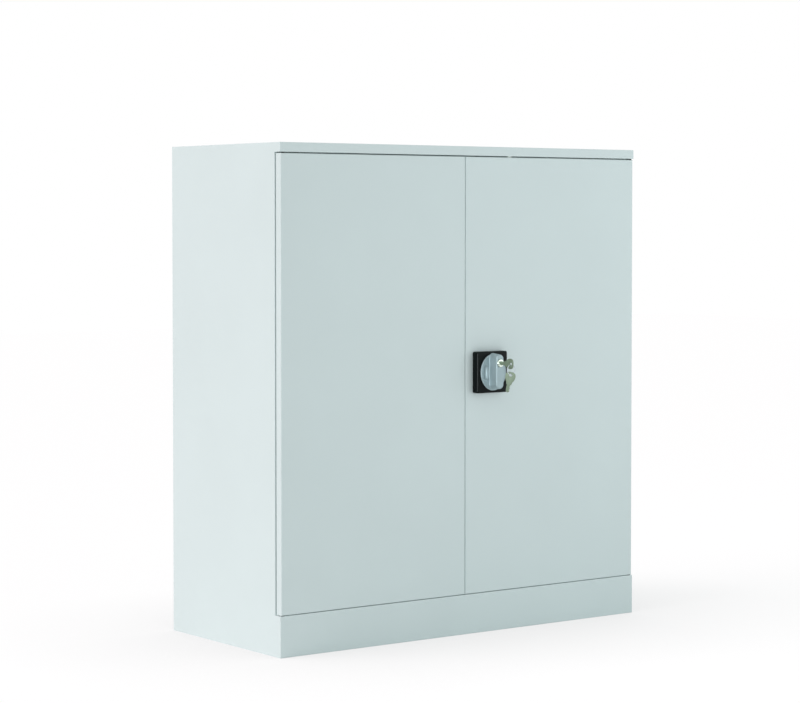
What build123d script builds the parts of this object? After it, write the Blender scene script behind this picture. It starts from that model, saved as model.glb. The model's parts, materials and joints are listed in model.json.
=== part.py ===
from build123d import *
import math
import os

# A low two-door steel cupboard with its doors closed and its lock open.
# +X is the viewer's right, +Y goes into the cupboard and +Z is up. The origin is on the floor, in the
# middle of the carcass's footprint. Lengths are in millimetres.

# Carcass
WIDTH = 914.0
DEPTH = 400.0
HEIGHT = 1000.0
SHEET = 0.9
BEND = 1.5  # outer radius of a fold in the sheet
BEND_INSIDE = BEND - SHEET
WELD_CORNER = 0.5  # ground and painted corner where two sheets are welded
CAP_HEIGHT = 19.0
PLINTH_HEIGHT = 81.5
NOTCH_DEPTH = 19.0  # from the front of the cap and plinth back to the face of the stile
STILE_WIDTH = 27.0
STILE_RETURN = 11.0
BACK_RETURN = 15.0
TOP_TAB = 12.0  # flange of the side panel under the cap
CAP_RAIL = 26.0  # hangs behind the tops of the doors
CAP_BACK_FLANGE = 15.0
FLOOR_HEIGHT = 99.0
FLOOR_FLANGE = 15.0
PLINTH_TURN = 12.0  # stiffening turn behind the plinth's top
FOOT_FLANGE = 12.0
BASE_WALL = 60.0  # hidden walls of the base ring

# Doors
DOOR_THICKNESS = 16.0
DOOR_RECESS = 0.5  # the door's face lies this far behind the front of the cap
DOOR_SIDE_INSET = 2.0
TOP_GAP = 2.1
BOTTOM_GAP = 1.0
CENTRE_GAP = 1.3
CENTRE_OFFSET = -2.15  # middle of the gap between the doors
DOOR_FOLD = 1.8  # outer radius of the door's folded edges
DOOR_FOLD_INSIDE = DOOR_FOLD - SHEET
SKIN_FLANGE = 5.0
LOCK_CHANNEL = 95.0  # far side of the open channel that the rods run in
CHANNEL_LIP = 10.0

# Door pivots
PIVOT_FROM_SIDE = 6.0
PIVOT_FROM_FACE = 6.5
PIN_RADIUS = 3.0
PIN_HEAD_RADIUS = 4.0
PIN_HEAD = 3.0
PIN_REACH = 14.0
BUSH_RADIUS = 4.5
BUSH_FLANGE_RADIUS = 6.0
BUSH_THROUGH = 4.0  # how far the bush stands through its sheet
BUSH_GAP = 0.2  # between the bush's flange and the door
RUNNING = 0.05  # radial clearance of whatever turns

# Buffers
BUFFER_RADIUS = 5.0
BUFFER_GAP = 0.3
BUFFER_FROM_CENTRE = 130.0
BUFFER_ABOVE_RAIL = 8.0
PAD_WIDTH = 9.0
PAD_DEPTH = 8.0
PAD_THICKNESS = 2.0
PAD_PLACE = 114.5

# Uprights, shelf and clips
UPRIGHT_WIDTH = 25.0
UPRIGHT_DEPTH = 15.0
UPRIGHT_SHEET = 1.0
UPRIGHT_FROM_STILE = 5.0
UPRIGHT_FROM_BACK = 24.0
SLOT_WIDTH = 3.0
SLOT_HEIGHT = 12.0
SLOT_PITCH = 50.0
FIRST_SLOT = 45.0  # above the floor panel
SHELF_SLOT = 8  # the slot that the shelf's clips hang in, counted from the floor
SHELF_EDGE = 25.0
SHELF_TURN = 12.0
SHELF_SIDE_FLANGE = 10.0
SHELF_SIDE_GAP = 1.5
SHELF_FRONT_GAP = 5.0
SHELF_BACK_GAP = 6.0
CLIP_THICKNESS = 2.0
CLIP_HEIGHT = 10.0
CLIP_TONGUE = 11.0
CLIP_TONGUE_WIDTH = 14.0
CLIP_HOOK_DROP = 6.0

# Lock plate
KNOB_FROM_EDGE = 58.0  # from the right door's closing edge
KNOB_HEIGHT = 537.5
PLATE_WIDTH = 79.0
PLATE_HEIGHT = 85.0
PLATE_THICKNESS = 13.0
PLATE_CORNER = 4.0
PLATE_EDGE = 1.4
RECESS_DEPTH = 4.0
RECESS_GAP = 0.4
TRACK_DEPTH = 3.0
TRACK_GAP = 0.25

# Knob
KNOB_RADIUS = 37.0
KNOB_PROUD = 6.0
KNOB_EDGE = 2.2
KNOB_GAP = 0.2
GRIP_WIDTH = 17.0
GRIP_LENGTH = 69.0
GRIP_PROUD = 28.0
GRIP_END_RADIUS = 5.0
GRIP_TAPER = 3.0  # degrees
GRIP_EDGE = 1.2
BOSS_RADIUS = 11.0
FINGER_OFFSET = 20.0
FINGER_WIDTH = 14.0
FINGER_LENGTH = 31.0
FINGER_DEPTH = 5.0
SOCKET_DEPTH = 7.5

# Lock cylinder and keys
BARREL_OFFSET = 19.6  # from the knob's axis
BARREL_RADIUS = 7.5
BARREL_BORE = 5.5
COLLAR_RADIUS = 8.2
COLLAR_PROUD = 2.5
PLUG_PROUD = 0.3
KEYWAY_WIDTH = 2.3
KEYWAY_HEIGHT = 8.2
KEYWAY_DEPTH = 26.0
CAM_LENGTH = 12.0
CAM_WIDTH = 4.4
CAM_THICKNESS = 2.3
CAM_SQUARE = 3.0
CAM_GAP = 0.2
KEY_THICKNESS = 2.2
KEY_BLADE = 7.5
KEY_BOW_LENGTH = 22.5
KEY_BOW_WIDTH = 20.0
KEY_BOW_CORNER = 6.5
KEY_SHANK = 25.5
KEY_NECK_LENGTH = 4.0
KEY_NECK = 10.5
KEY_GROOVE_WIDTH = 1.4
KEY_GROOVE_DEPTH = 0.5
KEY_SHOWN = 16.0  # from the plug's face to the bow
KEY_HOLE_RADIUS = 3.25
KEY_HOLE_FROM_END = 6.5
KEY_CUTS = (1.8, 0.9, 1.8, 0.9)  # depths, from the tip
KEY_CUT_SPACING = 3.2
RING_RADIUS = 10.0
RING_WIRE = 0.75
RING_SIDES = 6  # of the wire's section
RING_SLACK = 0.85  # left under the ring's wire in the key's hole, so that the ring can swing
SPARE_SLACK = 1.3  # left over the ring's wire in the spare key's hole, which is turned to it
SPARE_TURN = 45.0  # degrees about its own length
SPARE_LEAN = 17.5  # degrees, tip towards the door

# Rack and pinion lock
MODULE = 1.25
PINION_TEETH = 18
PRESSURE_ANGLE = 20.0
BACKLASH = 0.14
DEDENDUM_SHARE = 1.25
SPINDLE_RADIUS = 6.0
SPINDLE_SQUARE = 8.0
SPINDLE_TAIL_RADIUS = 3.9
SPINDLE_TAIL = 3.0
DOOR_HOLE_RADIUS = 7.0
CIRCLIP_RADIUS = 6.0
CIRCLIP_THICKNESS = 0.6
CIRCLIP_GROOVE_RADIUS = 3.0
CIRCLIP_GAP = 0.2
CIRCLIP_MOUTH = 4.0
BASE_PLATE = 1.5
BASE_PLATE_WIDTH = 70.0
BASE_PLATE_HEIGHT = 76.0
BASE_PLATE_CORNER = 3.0
RACK_THICKNESS = 4.0
ROD_THICKNESS = 3.0
LAYER_GAP = 0.1
RACK_BACK = 8.0  # solid width behind the rack's teeth
RACK_LEAD = 8.0
RACK_LENGTH = 50.0
BOLT_TAIL = 2.0
CASE_SHEET = 1.5
CASE_HEIGHT = 60.0
CASE_FOOT = 10.5
CASE_BEND = 2.0
CASE_FOOT_BEND = 0.5
CASE_SIDE_GAP = 0.15
CASE_SLOT_GAP = 0.3
SCREW_X = 28.0
SCREW_Z = 22.0
SCREW_RADIUS = 2.0
SCREW_HOLE_GAP = 0.15
SCREW_HEAD_RADIUS = 3.5
SCREW_HEAD = 2.2
SCREW_GRIP = 5.0  # depth of its thread in the lock plate
SCREW_SLOT = 0.8
SCREW_SLOT_DEPTH = 1.0
ROD_OVERLAP = 18.0
ROD_TIP_BACK = 0.5  # the drawn-back tip lies this far inside the door's edge
ROD_TIP_CHAMFER = 1.5
ROD_SLOT_GAP = 0.3
KEEPER_GAP = 1.0
RIVET_RADIUS = 2.0
RIVET_FROM_END = 4.5
GUIDE_FROM_END = 145.0  # from the door's top or bottom to the guide's middle
GUIDE_HEIGHT = 20.0
GUIDE_FOOT = 8.0
GUIDE_SHEET = 1.0

OVERRUN = 1.0  # how far a cut runs past the faces that it opens
NEAR = 0.2  # how closely an edge is looked for by its place

# Places worked out from the sizes
HALF = WIDTH / 2
FRONT = -DEPTH / 2
BACK = DEPTH / 2
INNER = HALF - SHEET
ROOF = HEIGHT - SHEET
CAP_BOTTOM = HEIGHT - CAP_HEIGHT
STILE_FACE = FRONT + NOTCH_DEPTH
STILE_EDGE = HALF - STILE_WIDTH
STILE_END = STILE_FACE + STILE_RETURN
PANEL_BACK = BACK - SHEET  # outer face of the back panel
PANEL_FACE = PANEL_BACK - SHEET
RAIL_BOTTOM = CAP_BOTTOM - CAP_RAIL

DOOR_FRONT = FRONT + DOOR_RECESS
DOOR_BACK = DOOR_FRONT + DOOR_THICKNESS
DOOR_BOTTOM = PLINTH_HEIGHT + BOTTOM_GAP
DOOR_TOP = CAP_BOTTOM - TOP_GAP
DOOR_OUTER = HALF - DOOR_SIDE_INSET
LEFT_EDGE = CENTRE_OFFSET - CENTRE_GAP / 2
RIGHT_EDGE = CENTRE_OFFSET + CENTRE_GAP / 2
PIVOT_X = DOOR_OUTER - PIVOT_FROM_SIDE
PIVOT_Y = DOOR_FRONT + PIVOT_FROM_FACE

UPRIGHT_FACE = INNER - UPRIGHT_DEPTH
FRONT_UPRIGHT = STILE_END + UPRIGHT_FROM_STILE + UPRIGHT_WIDTH / 2
BACK_UPRIGHT = PANEL_FACE - UPRIGHT_FROM_BACK - UPRIGHT_WIDTH / 2
CLIP_BOTTOM = FLOOR_HEIGHT + FIRST_SLOT + SHELF_SLOT * SLOT_PITCH - SLOT_HEIGHT / 2
SHELF_REST = CLIP_BOTTOM + CLIP_HEIGHT
SHELF_TOP = SHELF_REST + SHELF_SIDE_FLANGE
SHELF_HALF = UPRIGHT_FACE - SHELF_SIDE_GAP

KNOB_X = RIGHT_EDGE + KNOB_FROM_EDGE
PLATE_FRONT = DOOR_FRONT - PLATE_THICKNESS
RECESS_FLOOR = PLATE_FRONT + RECESS_DEPTH
TRACK_FLOOR = RECESS_FLOOR + TRACK_DEPTH
KNOB_BACK = RECESS_FLOOR - KNOB_GAP
KNOB_FRONT = PLATE_FRONT - KNOB_PROUD
GRIP_FRONT = PLATE_FRONT - GRIP_PROUD
BARREL_FRONT = GRIP_FRONT - COLLAR_PROUD
PLUG_FRONT = BARREL_FRONT - PLUG_PROUD
BARREL_Z = KNOB_HEIGHT + BARREL_OFFSET
CAM_FRONT = KNOB_BACK + CAM_GAP
CAM_BACK = CAM_FRONT + CAM_THICKNESS
KEY_HOLE_Y = PLUG_FRONT - KEY_SHOWN - KEY_BOW_LENGTH + KEY_HOLE_FROM_END
RING_TOP = BARREL_Z - KEY_HOLE_RADIUS + RING_SLACK + RING_WIRE  # middle of its wire in the key's hole
RING_BOTTOM = RING_TOP - 2 * RING_RADIUS
SPARE_DROP = KEY_HOLE_RADIUS - RING_WIRE - SPARE_SLACK

SKIN_BACK = DOOR_FRONT + SHEET
BASE_BACK = SKIN_BACK + BASE_PLATE
RACK_FRONT = BASE_BACK + LAYER_GAP
RACK_REAR = RACK_FRONT + RACK_THICKNESS
ROD_FRONT = RACK_REAR + LAYER_GAP
ROD_REAR = ROD_FRONT + ROD_THICKNESS
CASE_FRONT = ROD_REAR + LAYER_GAP
CASE_BACK = CASE_FRONT + CASE_SHEET
FOOT_BACK = BASE_BACK + CASE_SHEET

PITCH_RADIUS = MODULE * PINION_TEETH / 2
BASE_RADIUS = PITCH_RADIUS * math.cos(math.radians(PRESSURE_ANGLE))
TIP_RADIUS = PITCH_RADIUS + MODULE
ROOT_RADIUS = PITCH_RADIUS - MODULE * DEDENDUM_SHARE
TOOTH = (math.pi * MODULE - BACKLASH) / 2  # width of a tooth on the pitch line
TRAVEL = PITCH_RADIUS * math.pi / 2  # of each rack, over the knob's quarter turn
RACK_TIP = PITCH_RADIUS - MODULE
RACK_ROOT = PITCH_RADIUS + MODULE * DEDENDUM_SHARE
RACK_OUTER = RACK_ROOT + RACK_BACK
ROD_MIDDLE = RACK_ROOT + RACK_BACK / 2
UPPER_ROD_X = KNOB_X + ROD_MIDDLE
LOWER_ROD_X = KNOB_X - ROD_MIDDLE
BOLT_Z = KNOB_HEIGHT + ROD_MIDDLE


# Helpers


def span(x, y, z):
    """A box between two places on each axis, each given as a pair."""
    size = [abs(pair[1] - pair[0]) for pair in (x, y, z)]
    middle = [(pair[0] + pair[1]) / 2 for pair in (x, y, z)]
    return Pos(*middle) * Box(*size)


def around(middle, width):
    """The two places half a width either side of a middle."""
    return (middle - width / 2, middle + width / 2)


def folded(points, radii, thickness=SHEET):
    """The section of a folded sheet, which lies to the right of the points of its outer side."""
    line = Wire(FilletPolyline(*points, radius=radii).edges())
    return make_face(line.offset_2d(thickness, kind=Kind.INTERSECTION, side=Side.RIGHT))


def along_x(section, low, high):
    """Extrudes a section drawn as (y, z) from one x to another."""
    plane = Plane(origin=(low, 0, 0), x_dir=(0, 1, 0), z_dir=(1, 0, 0))
    return extrude(plane * section, amount=high - low)


def along_z(section, low, high):
    """Extrudes a section drawn as (x, y) from one height to another."""
    return extrude(Pos(0, 0, low) * section, amount=high - low)


def post(radius, x, y, low, high):
    """An upright round bar."""
    return Pos(x, y, (low + high) / 2) * Cylinder(radius, high - low)


def mirrored(solid):
    """The same piece on the other side of the cupboard."""
    return mirror(solid, about=Plane.YZ)


def at_lock(sketch, front, back, centre_z=KNOB_HEIGHT, taper=0):
    """Extrudes a sketch, seen as the viewer sees the lock, forward from the back to the front."""
    plane = Plane(origin=(KNOB_X, back, centre_z), x_dir=(1, 0, 0), z_dir=(0, -1, 0))
    return extrude(plane * sketch, amount=back - front, taper=taper)


def edges_at(solid, axis, x=None, y=None, z=None):
    """The straight edges along an axis whose middles lie near the given places."""
    found = ShapeList()
    for edge in solid.edges().filter_by(axis):
        centre = edge.center()
        wanted = ((x, centre.X), (y, centre.Y), (z, centre.Z))
        if all(place is None or abs(place - value) < NEAR for place, value in wanted):
            found.append(edge)
    return found


# Carcass


def side_panel():
    """The left side: one sheet from floor to cap, notched for the door and folded in front and back."""
    beside_door = folded(
        [
            (-STILE_EDGE, STILE_END),
            (-STILE_EDGE, STILE_FACE),
            (-HALF, STILE_FACE),
            (-HALF, BACK),
            (-HALF + BACK_RETURN, BACK),
        ],
        [BEND, BEND, BEND],
    )
    beside_cap = folded(
        [(-HALF, FRONT + SHEET), (-HALF, BACK), (-HALF + BACK_RETURN, BACK)],
        [BEND],
    )
    panel = along_z(beside_door, PLINTH_HEIGHT, CAP_BOTTOM)
    panel += along_z(beside_cap, 0, PLINTH_HEIGHT)
    panel += along_z(beside_cap, CAP_BOTTOM, ROOF)
    panel += span((-INNER, -INNER + TOP_TAB), (STILE_FACE, PANEL_FACE), (ROOF - SHEET, ROOF))
    return panel


def top_panel():
    """The cap: roof, front lip, flange over the doors and a rail behind their tops."""
    section = folded(
        [
            (STILE_FACE, RAIL_BOTTOM),
            (STILE_FACE, CAP_BOTTOM),
            (FRONT, CAP_BOTTOM),
            (FRONT, HEIGHT),
            (BACK, HEIGHT),
            (BACK, HEIGHT - CAP_BACK_FLANGE),
        ],
        [BEND_INSIDE, BEND, BEND, BEND],
    )
    cap = along_x(section, -HALF, HALF)
    for side in (-1, 1):
        outside = (side * INNER, side * (HALF + OVERRUN))
        cap -= span(outside, (FRONT + SHEET, BACK + OVERRUN), (RAIL_BOTTOM - OVERRUN, ROOF))
        beside_rail = (side * STILE_EDGE, side * (HALF + OVERRUN))
        cap -= span(beside_rail, (STILE_FACE - BEND, STILE_END), (RAIL_BOTTOM - OVERRUN, CAP_BOTTOM))
        beside_flange = (side * (HALF - BACK_RETURN), side * (HALF + OVERRUN))
        cap -= span(beside_flange, (PANEL_BACK - BEND_INSIDE, BACK + OVERRUN), (RAIL_BOTTOM, ROOF))
        cap -= post(BUSH_RADIUS, side * PIVOT_X, PIVOT_Y, CAP_BOTTOM - OVERRUN, CAP_BOTTOM + SHEET + OVERRUN)
    cap -= keeper_slot(UPPER_ROD_X, CAP_BOTTOM + SHEET / 2)
    corners = edges_at(cap, Axis.Z, x=-HALF, y=FRONT) + edges_at(cap, Axis.Z, x=HALF, y=FRONT)
    corners += edges_at(cap, Axis.Y, x=-HALF, z=HEIGHT) + edges_at(cap, Axis.Y, x=HALF, z=HEIGHT)
    return chamfer(corners, WELD_CORNER)


def keeper_slot(x, z):
    """The cut that a rod's tip enters when the lock is thrown."""
    return span(
        around(x, RACK_BACK + 2 * KEEPER_GAP),
        (ROD_FRONT - KEEPER_GAP, ROD_REAR + KEEPER_GAP),
        around(z, SHEET + 2 * OVERRUN),
    )


def back_panel():
    """A flat sheet behind, welded inside the side panels' returns and clear of their folds."""
    edge = INNER - BEND_INSIDE
    return span((-edge, edge), (PANEL_FACE, PANEL_BACK), (0, ROOF - BEND_INSIDE))


def floor_panel():
    """The floor, with its front turned down as the stop that the doors close against."""
    section = folded(
        [
            (STILE_FACE, PLINTH_HEIGHT),
            (STILE_FACE, FLOOR_HEIGHT),
            (PANEL_FACE, FLOOR_HEIGHT),
            (PANEL_FACE, FLOOR_HEIGHT - FLOOR_FLANGE),
        ],
        [BEND, BEND],
    )
    floor = along_x(section, -INNER, INNER)
    for side in (-1, 1):
        beside_stile = (side * STILE_EDGE, side * (HALF + OVERRUN))
        floor -= span(
            beside_stile,
            (STILE_FACE - OVERRUN, STILE_END),
            (PLINTH_HEIGHT - OVERRUN, FLOOR_HEIGHT + OVERRUN),
        )
        floor += span(
            (side * (INNER - SHEET), side * INNER),
            (STILE_END, PANEL_FACE - SHEET),
            (FLOOR_HEIGHT - FLOOR_FLANGE, FLOOR_HEIGHT - SHEET / 2),
        )
    return floor


def plinth():
    """The base ring: the front panel that shows, with hidden walls and a foot flange all round."""
    section = folded(
        [
            (FRONT + FOOT_FLANGE, 0),
            (FRONT, 0),
            (FRONT, PLINTH_HEIGHT),
            (STILE_FACE + SHEET, PLINTH_HEIGHT),
            (STILE_FACE + SHEET, PLINTH_HEIGHT - PLINTH_TURN),
        ],
        [BEND, BEND, BEND],
    )
    ring = along_x(section, -HALF, HALF)
    inside = (FRONT + SHEET, PANEL_FACE)
    ring += span((-INNER, INNER), (PANEL_FACE - SHEET, PANEL_FACE), (0, BASE_WALL))
    ring += span((-INNER, INNER), (PANEL_FACE - FOOT_FLANGE, PANEL_FACE), (0, SHEET))
    for side in (-1, 1):
        outside = (side * INNER, side * (HALF + OVERRUN))
        ring -= span(outside, (FRONT + SHEET, STILE_END), (-OVERRUN, FLOOR_HEIGHT))
        ring += span((side * (INNER - SHEET), side * INNER), inside, (0, BASE_WALL))
        ring += span((side * (INNER - FOOT_FLANGE), side * INNER), inside, (0, SHEET))
        ring -= post(
            BUSH_RADIUS, side * PIVOT_X, PIVOT_Y, PLINTH_HEIGHT - SHEET - OVERRUN, PLINTH_HEIGHT + OVERRUN
        )
    ring -= keeper_slot(LOWER_ROD_X, PLINTH_HEIGHT - SHEET / 2)
    corners = edges_at(ring, Axis.Z, x=-HALF, y=FRONT) + edges_at(ring, Axis.Z, x=HALF, y=FRONT)
    return chamfer(corners, WELD_CORNER)


def upright(middle_y):
    """A slotted channel on the left side that the shelf's clips hook into."""
    near, far = around(middle_y, UPRIGHT_WIDTH)
    section = folded(
        [(-INNER, far), (-UPRIGHT_FACE, far), (-UPRIGHT_FACE, near), (-INNER, near)],
        [BEND, BEND],
        UPRIGHT_SHEET,
    )
    channel = along_z(section, FLOOR_HEIGHT, CAP_BOTTOM)
    slots = int((CAP_BOTTOM - FLOOR_HEIGHT - 2 * FIRST_SLOT) / SLOT_PITCH) + 1
    for index in range(slots):
        slot_z = FLOOR_HEIGHT + FIRST_SLOT + index * SLOT_PITCH
        channel -= span(
            (-UPRIGHT_FACE - UPRIGHT_SHEET - OVERRUN, -UPRIGHT_FACE + OVERRUN),
            around(middle_y, SLOT_WIDTH),
            around(slot_z, SLOT_HEIGHT),
        )
    return channel


def shelf_clip(middle_y):
    """A pressed clip on the left side: a hook behind the upright's face and a tongue under the shelf."""
    hooked = -UPRIGHT_FACE - UPRIGHT_SHEET
    thickness = around(middle_y, CLIP_THICKNESS)
    clip = span((hooked - CLIP_THICKNESS, -UPRIGHT_FACE + CLIP_TONGUE), thickness, (CLIP_BOTTOM, SHELF_REST))
    clip += span((hooked - CLIP_THICKNESS, hooked), thickness, (CLIP_BOTTOM - CLIP_HOOK_DROP, SHELF_REST))
    clip += span(
        (-UPRIGHT_FACE, -UPRIGHT_FACE + CLIP_TONGUE),
        around(middle_y, CLIP_TONGUE_WIDTH),
        (SHELF_REST - CLIP_THICKNESS, SHELF_REST),
    )
    return clip


def shelf_clips():
    """The four clips of the one shelf."""
    left = [shelf_clip(FRONT_UPRIGHT), shelf_clip(BACK_UPRIGHT)]
    return Compound(left + [mirrored(clip) for clip in left])


def shelf():
    """The shelf, folded twice at the front and back and once at its sides."""
    near = STILE_END + SHELF_FRONT_GAP
    far = PANEL_FACE - SHELF_BACK_GAP
    section = folded(
        [
            (near + SHELF_TURN, SHELF_TOP - SHELF_EDGE),
            (near, SHELF_TOP - SHELF_EDGE),
            (near, SHELF_TOP),
            (far, SHELF_TOP),
            (far, SHELF_TOP - SHELF_EDGE),
            (far - SHELF_TURN, SHELF_TOP - SHELF_EDGE),
        ],
        [BEND] * 4,
    )
    board = along_x(section, -SHELF_HALF, SHELF_HALF)
    for side in (-1, 1):
        board += span(
            (side * (SHELF_HALF - SHEET), side * SHELF_HALF),
            (near + SHEET / 2, far - SHEET / 2),
            (SHELF_REST, SHELF_TOP - SHEET / 2),
        )
    return board


def hinge_bush(top):
    """A flanged nylon bush at the left pivot, in the cap's flange or in the plinth's."""
    if top:
        body = post(BUSH_RADIUS, -PIVOT_X, PIVOT_Y, CAP_BOTTOM, CAP_BOTTOM + SHEET + BUSH_THROUGH)
        body += post(BUSH_FLANGE_RADIUS, -PIVOT_X, PIVOT_Y, DOOR_TOP + BUSH_GAP, CAP_BOTTOM)
    else:
        body = post(BUSH_RADIUS, -PIVOT_X, PIVOT_Y, PLINTH_HEIGHT - SHEET - BUSH_THROUGH, PLINTH_HEIGHT)
        body += post(BUSH_FLANGE_RADIUS, -PIVOT_X, PIVOT_Y, PLINTH_HEIGHT, DOOR_BOTTOM - BUSH_GAP)
    return body - post(PIN_RADIUS + RUNNING, -PIVOT_X, PIVOT_Y, 0, HEIGHT)


def hinge_bushes():
    """The four bushes, over and under each door."""
    left = [hinge_bush(True), hinge_bush(False)]
    return Compound(left + [mirrored(bush) for bush in left])


def door_buffers():
    """Four rubber discs that the doors close against, two on the cap's rail and two on the floor's stop."""
    face = DOOR_BACK + BUFFER_GAP
    discs = []
    for x in (-BUFFER_FROM_CENTRE, BUFFER_FROM_CENTRE):
        for z in (RAIL_BOTTOM + BUFFER_ABOVE_RAIL, (PLINTH_HEIGHT + FLOOR_HEIGHT) / 2):
            plane = Plane(origin=(x, STILE_FACE, z), z_dir=(0, -1, 0))
            discs.append(extrude(plane * Circle(BUFFER_RADIUS), amount=STILE_FACE - face))
    return Compound(discs)


def door_pad():
    """The nylon pad over the right door that keeps it off the cap."""
    return span(
        around(PAD_PLACE, PAD_WIDTH),
        (FRONT + SHEET, FRONT + SHEET + PAD_DEPTH),
        (CAP_BOTTOM - PAD_THICKNESS, CAP_BOTTOM),
    )


# Doors


def tray(x, y, z):
    """A folded tray, open at the back, with rounded front edges."""
    outside = span(x, y, z)
    front_edges = edges_at(outside, Axis.X, y=y[0]) + edges_at(outside, Axis.Z, y=y[0])
    outside = fillet(front_edges, DOOR_FOLD)
    inner_x = (x[0] + SHEET, x[1] - SHEET)
    inner_z = (z[0] + SHEET, z[1] - SHEET)
    inside = span(inner_x, (y[0] + SHEET, y[1] + OVERRUN), inner_z)
    inner_edges = edges_at(inside, Axis.X, y=y[0] + SHEET) + edges_at(inside, Axis.Z, y=y[0] + SHEET)
    return outside - fillet(inner_edges, DOOR_FOLD_INSIDE)


def bolt_slot(gap, x):
    """The cut in a door's closing edge that the side bolt passes through."""
    return span(
        around(x, SHEET + 2 * OVERRUN),
        (ROD_FRONT - gap, ROD_REAR + gap),
        around(BOLT_Z, RACK_BACK + 2 * gap),
    )


def door_pan(x):
    """A door's outer skin with its four returns and the holes for its pins."""
    return tray(x, (DOOR_FRONT, DOOR_BACK), (DOOR_BOTTOM, DOOR_TOP))


def left_door_pan():
    pan = door_pan((-DOOR_OUTER, LEFT_EDGE))
    pan -= post(PIN_RADIUS, -PIVOT_X, PIVOT_Y, 0, HEIGHT)
    return pan - bolt_slot(KEEPER_GAP, LEFT_EDGE - SHEET / 2)


def right_door_pan():
    pan = door_pan((RIGHT_EDGE, DOOR_OUTER))
    pan -= post(PIN_RADIUS, PIVOT_X, PIVOT_Y, 0, HEIGHT)
    pan += span(
        (RIGHT_EDGE, RIGHT_EDGE + CHANNEL_LIP),
        (DOOR_BACK - SHEET, DOOR_BACK),
        (DOOR_BOTTOM + SHEET / 2, DOOR_TOP - SHEET / 2),
    )
    pan -= bolt_slot(ROD_SLOT_GAP, RIGHT_EDGE + SHEET / 2)
    for x, z in ((UPPER_ROD_X, DOOR_TOP - SHEET / 2), (LOWER_ROD_X, DOOR_BOTTOM + SHEET / 2)):
        pan -= span(
            around(x, RACK_BACK + 2 * ROD_SLOT_GAP),
            (ROD_FRONT - ROD_SLOT_GAP, ROD_REAR + ROD_SLOT_GAP),
            around(z, SHEET + 2 * OVERRUN),
        )
    holes = Circle(DOOR_HOLE_RADIUS) + screw_holes(SCREW_RADIUS + SCREW_HOLE_GAP)
    return pan - at_lock(holes, DOOR_FRONT - OVERRUN, SKIN_BACK + OVERRUN)


def inner_skin(x, web):
    """The flat sheet that closes a door behind, with a shallow flange inside the pan's returns."""
    inside_z = (DOOR_BOTTOM + SHEET, DOOR_TOP - SHEET)
    skin = span(x, (DOOR_BACK - SKIN_FLANGE, DOOR_BACK), inside_z)
    skin -= span(
        (x[0] + SHEET, x[1] - SHEET),
        (DOOR_BACK - SKIN_FLANGE - OVERRUN, DOOR_BACK - SHEET),
        (inside_z[0] + SHEET, inside_z[1] - SHEET),
    )
    if web:
        between_folds = (inside_z[0] + DOOR_FOLD_INSIDE, inside_z[1] - DOOR_FOLD_INSIDE)
        skin += span((x[0], x[0] + SHEET), (SKIN_BACK, DOOR_BACK - SHEET), between_folds)
    return skin


def hinge_pin(side, top):
    """A headed steel pin through a door's return, turning in its bush."""
    x = side * PIVOT_X
    if top:
        inside = DOOR_TOP - SHEET
        return post(PIN_RADIUS, x, PIVOT_Y, inside, DOOR_TOP + PIN_REACH) + post(
            PIN_HEAD_RADIUS, x, PIVOT_Y, inside - PIN_HEAD, inside
        )
    inside = DOOR_BOTTOM + SHEET
    return post(PIN_RADIUS, x, PIVOT_Y, DOOR_BOTTOM - PIN_REACH, inside) + post(
        PIN_HEAD_RADIUS, x, PIVOT_Y, inside, inside + PIN_HEAD
    )


def hinge_pins(side):
    """The pins over and under one door."""
    return Compound([hinge_pin(side, True), hinge_pin(side, False)])


# Lock plate and its fixings


def screw_places():
    """The two opposite corners of the lock case."""
    return [Pos(side * SCREW_X, side * SCREW_Z) for side in (-1, 1)]


def screw_holes(radius):
    return Sketch() + [place * Circle(radius) for place in screw_places()]


def cam_track():
    """The groove that lets the cam ride round only while it lies along it, with a pocket at each end."""
    corner = math.hypot(BARREL_OFFSET + CAM_WIDTH / 2, CAM_LENGTH / 2) + TRACK_GAP
    inner = BARREL_OFFSET - CAM_WIDTH / 2 - TRACK_GAP
    quarter = Pos(-corner / 2, corner / 2) * Rectangle(corner, corner)
    track = (Circle(corner) - Circle(inner)) & quarter
    pocket = Circle(math.hypot(CAM_LENGTH / 2, CAM_WIDTH / 2) + TRACK_GAP)
    return track + Pos(0, BARREL_OFFSET) * pocket + Pos(-BARREL_OFFSET, 0) * pocket


def escutcheon():
    """The black moulded plate that the knob turns in."""
    plate = at_lock(RectangleRounded(PLATE_WIDTH, PLATE_HEIGHT, PLATE_CORNER), PLATE_FRONT, DOOR_FRONT)
    plate = chamfer(plate.faces().sort_by(Axis.Y)[0].edges(), PLATE_EDGE)
    plate -= at_lock(Circle(KNOB_RADIUS + RECESS_GAP), PLATE_FRONT - OVERRUN, RECESS_FLOOR)
    plate -= at_lock(cam_track(), RECESS_FLOOR - OVERRUN, TRACK_FLOOR)
    plate -= at_lock(Circle(SPINDLE_RADIUS + RUNNING), RECESS_FLOOR - OVERRUN, DOOR_FRONT + OVERRUN)
    return plate - at_lock(screw_holes(SCREW_RADIUS), DOOR_FRONT - SCREW_GRIP, DOOR_FRONT + OVERRUN)


def lock_base():
    """The plate behind the door's skin that the lock is built on."""
    plate = RectangleRounded(BASE_PLATE_WIDTH, BASE_PLATE_HEIGHT, BASE_PLATE_CORNER)
    plate -= Circle(SPINDLE_RADIUS + RUNNING)
    plate -= screw_holes(SCREW_RADIUS + SCREW_HOLE_GAP)
    return at_lock(plate, SKIN_BACK, BASE_BACK)


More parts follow.
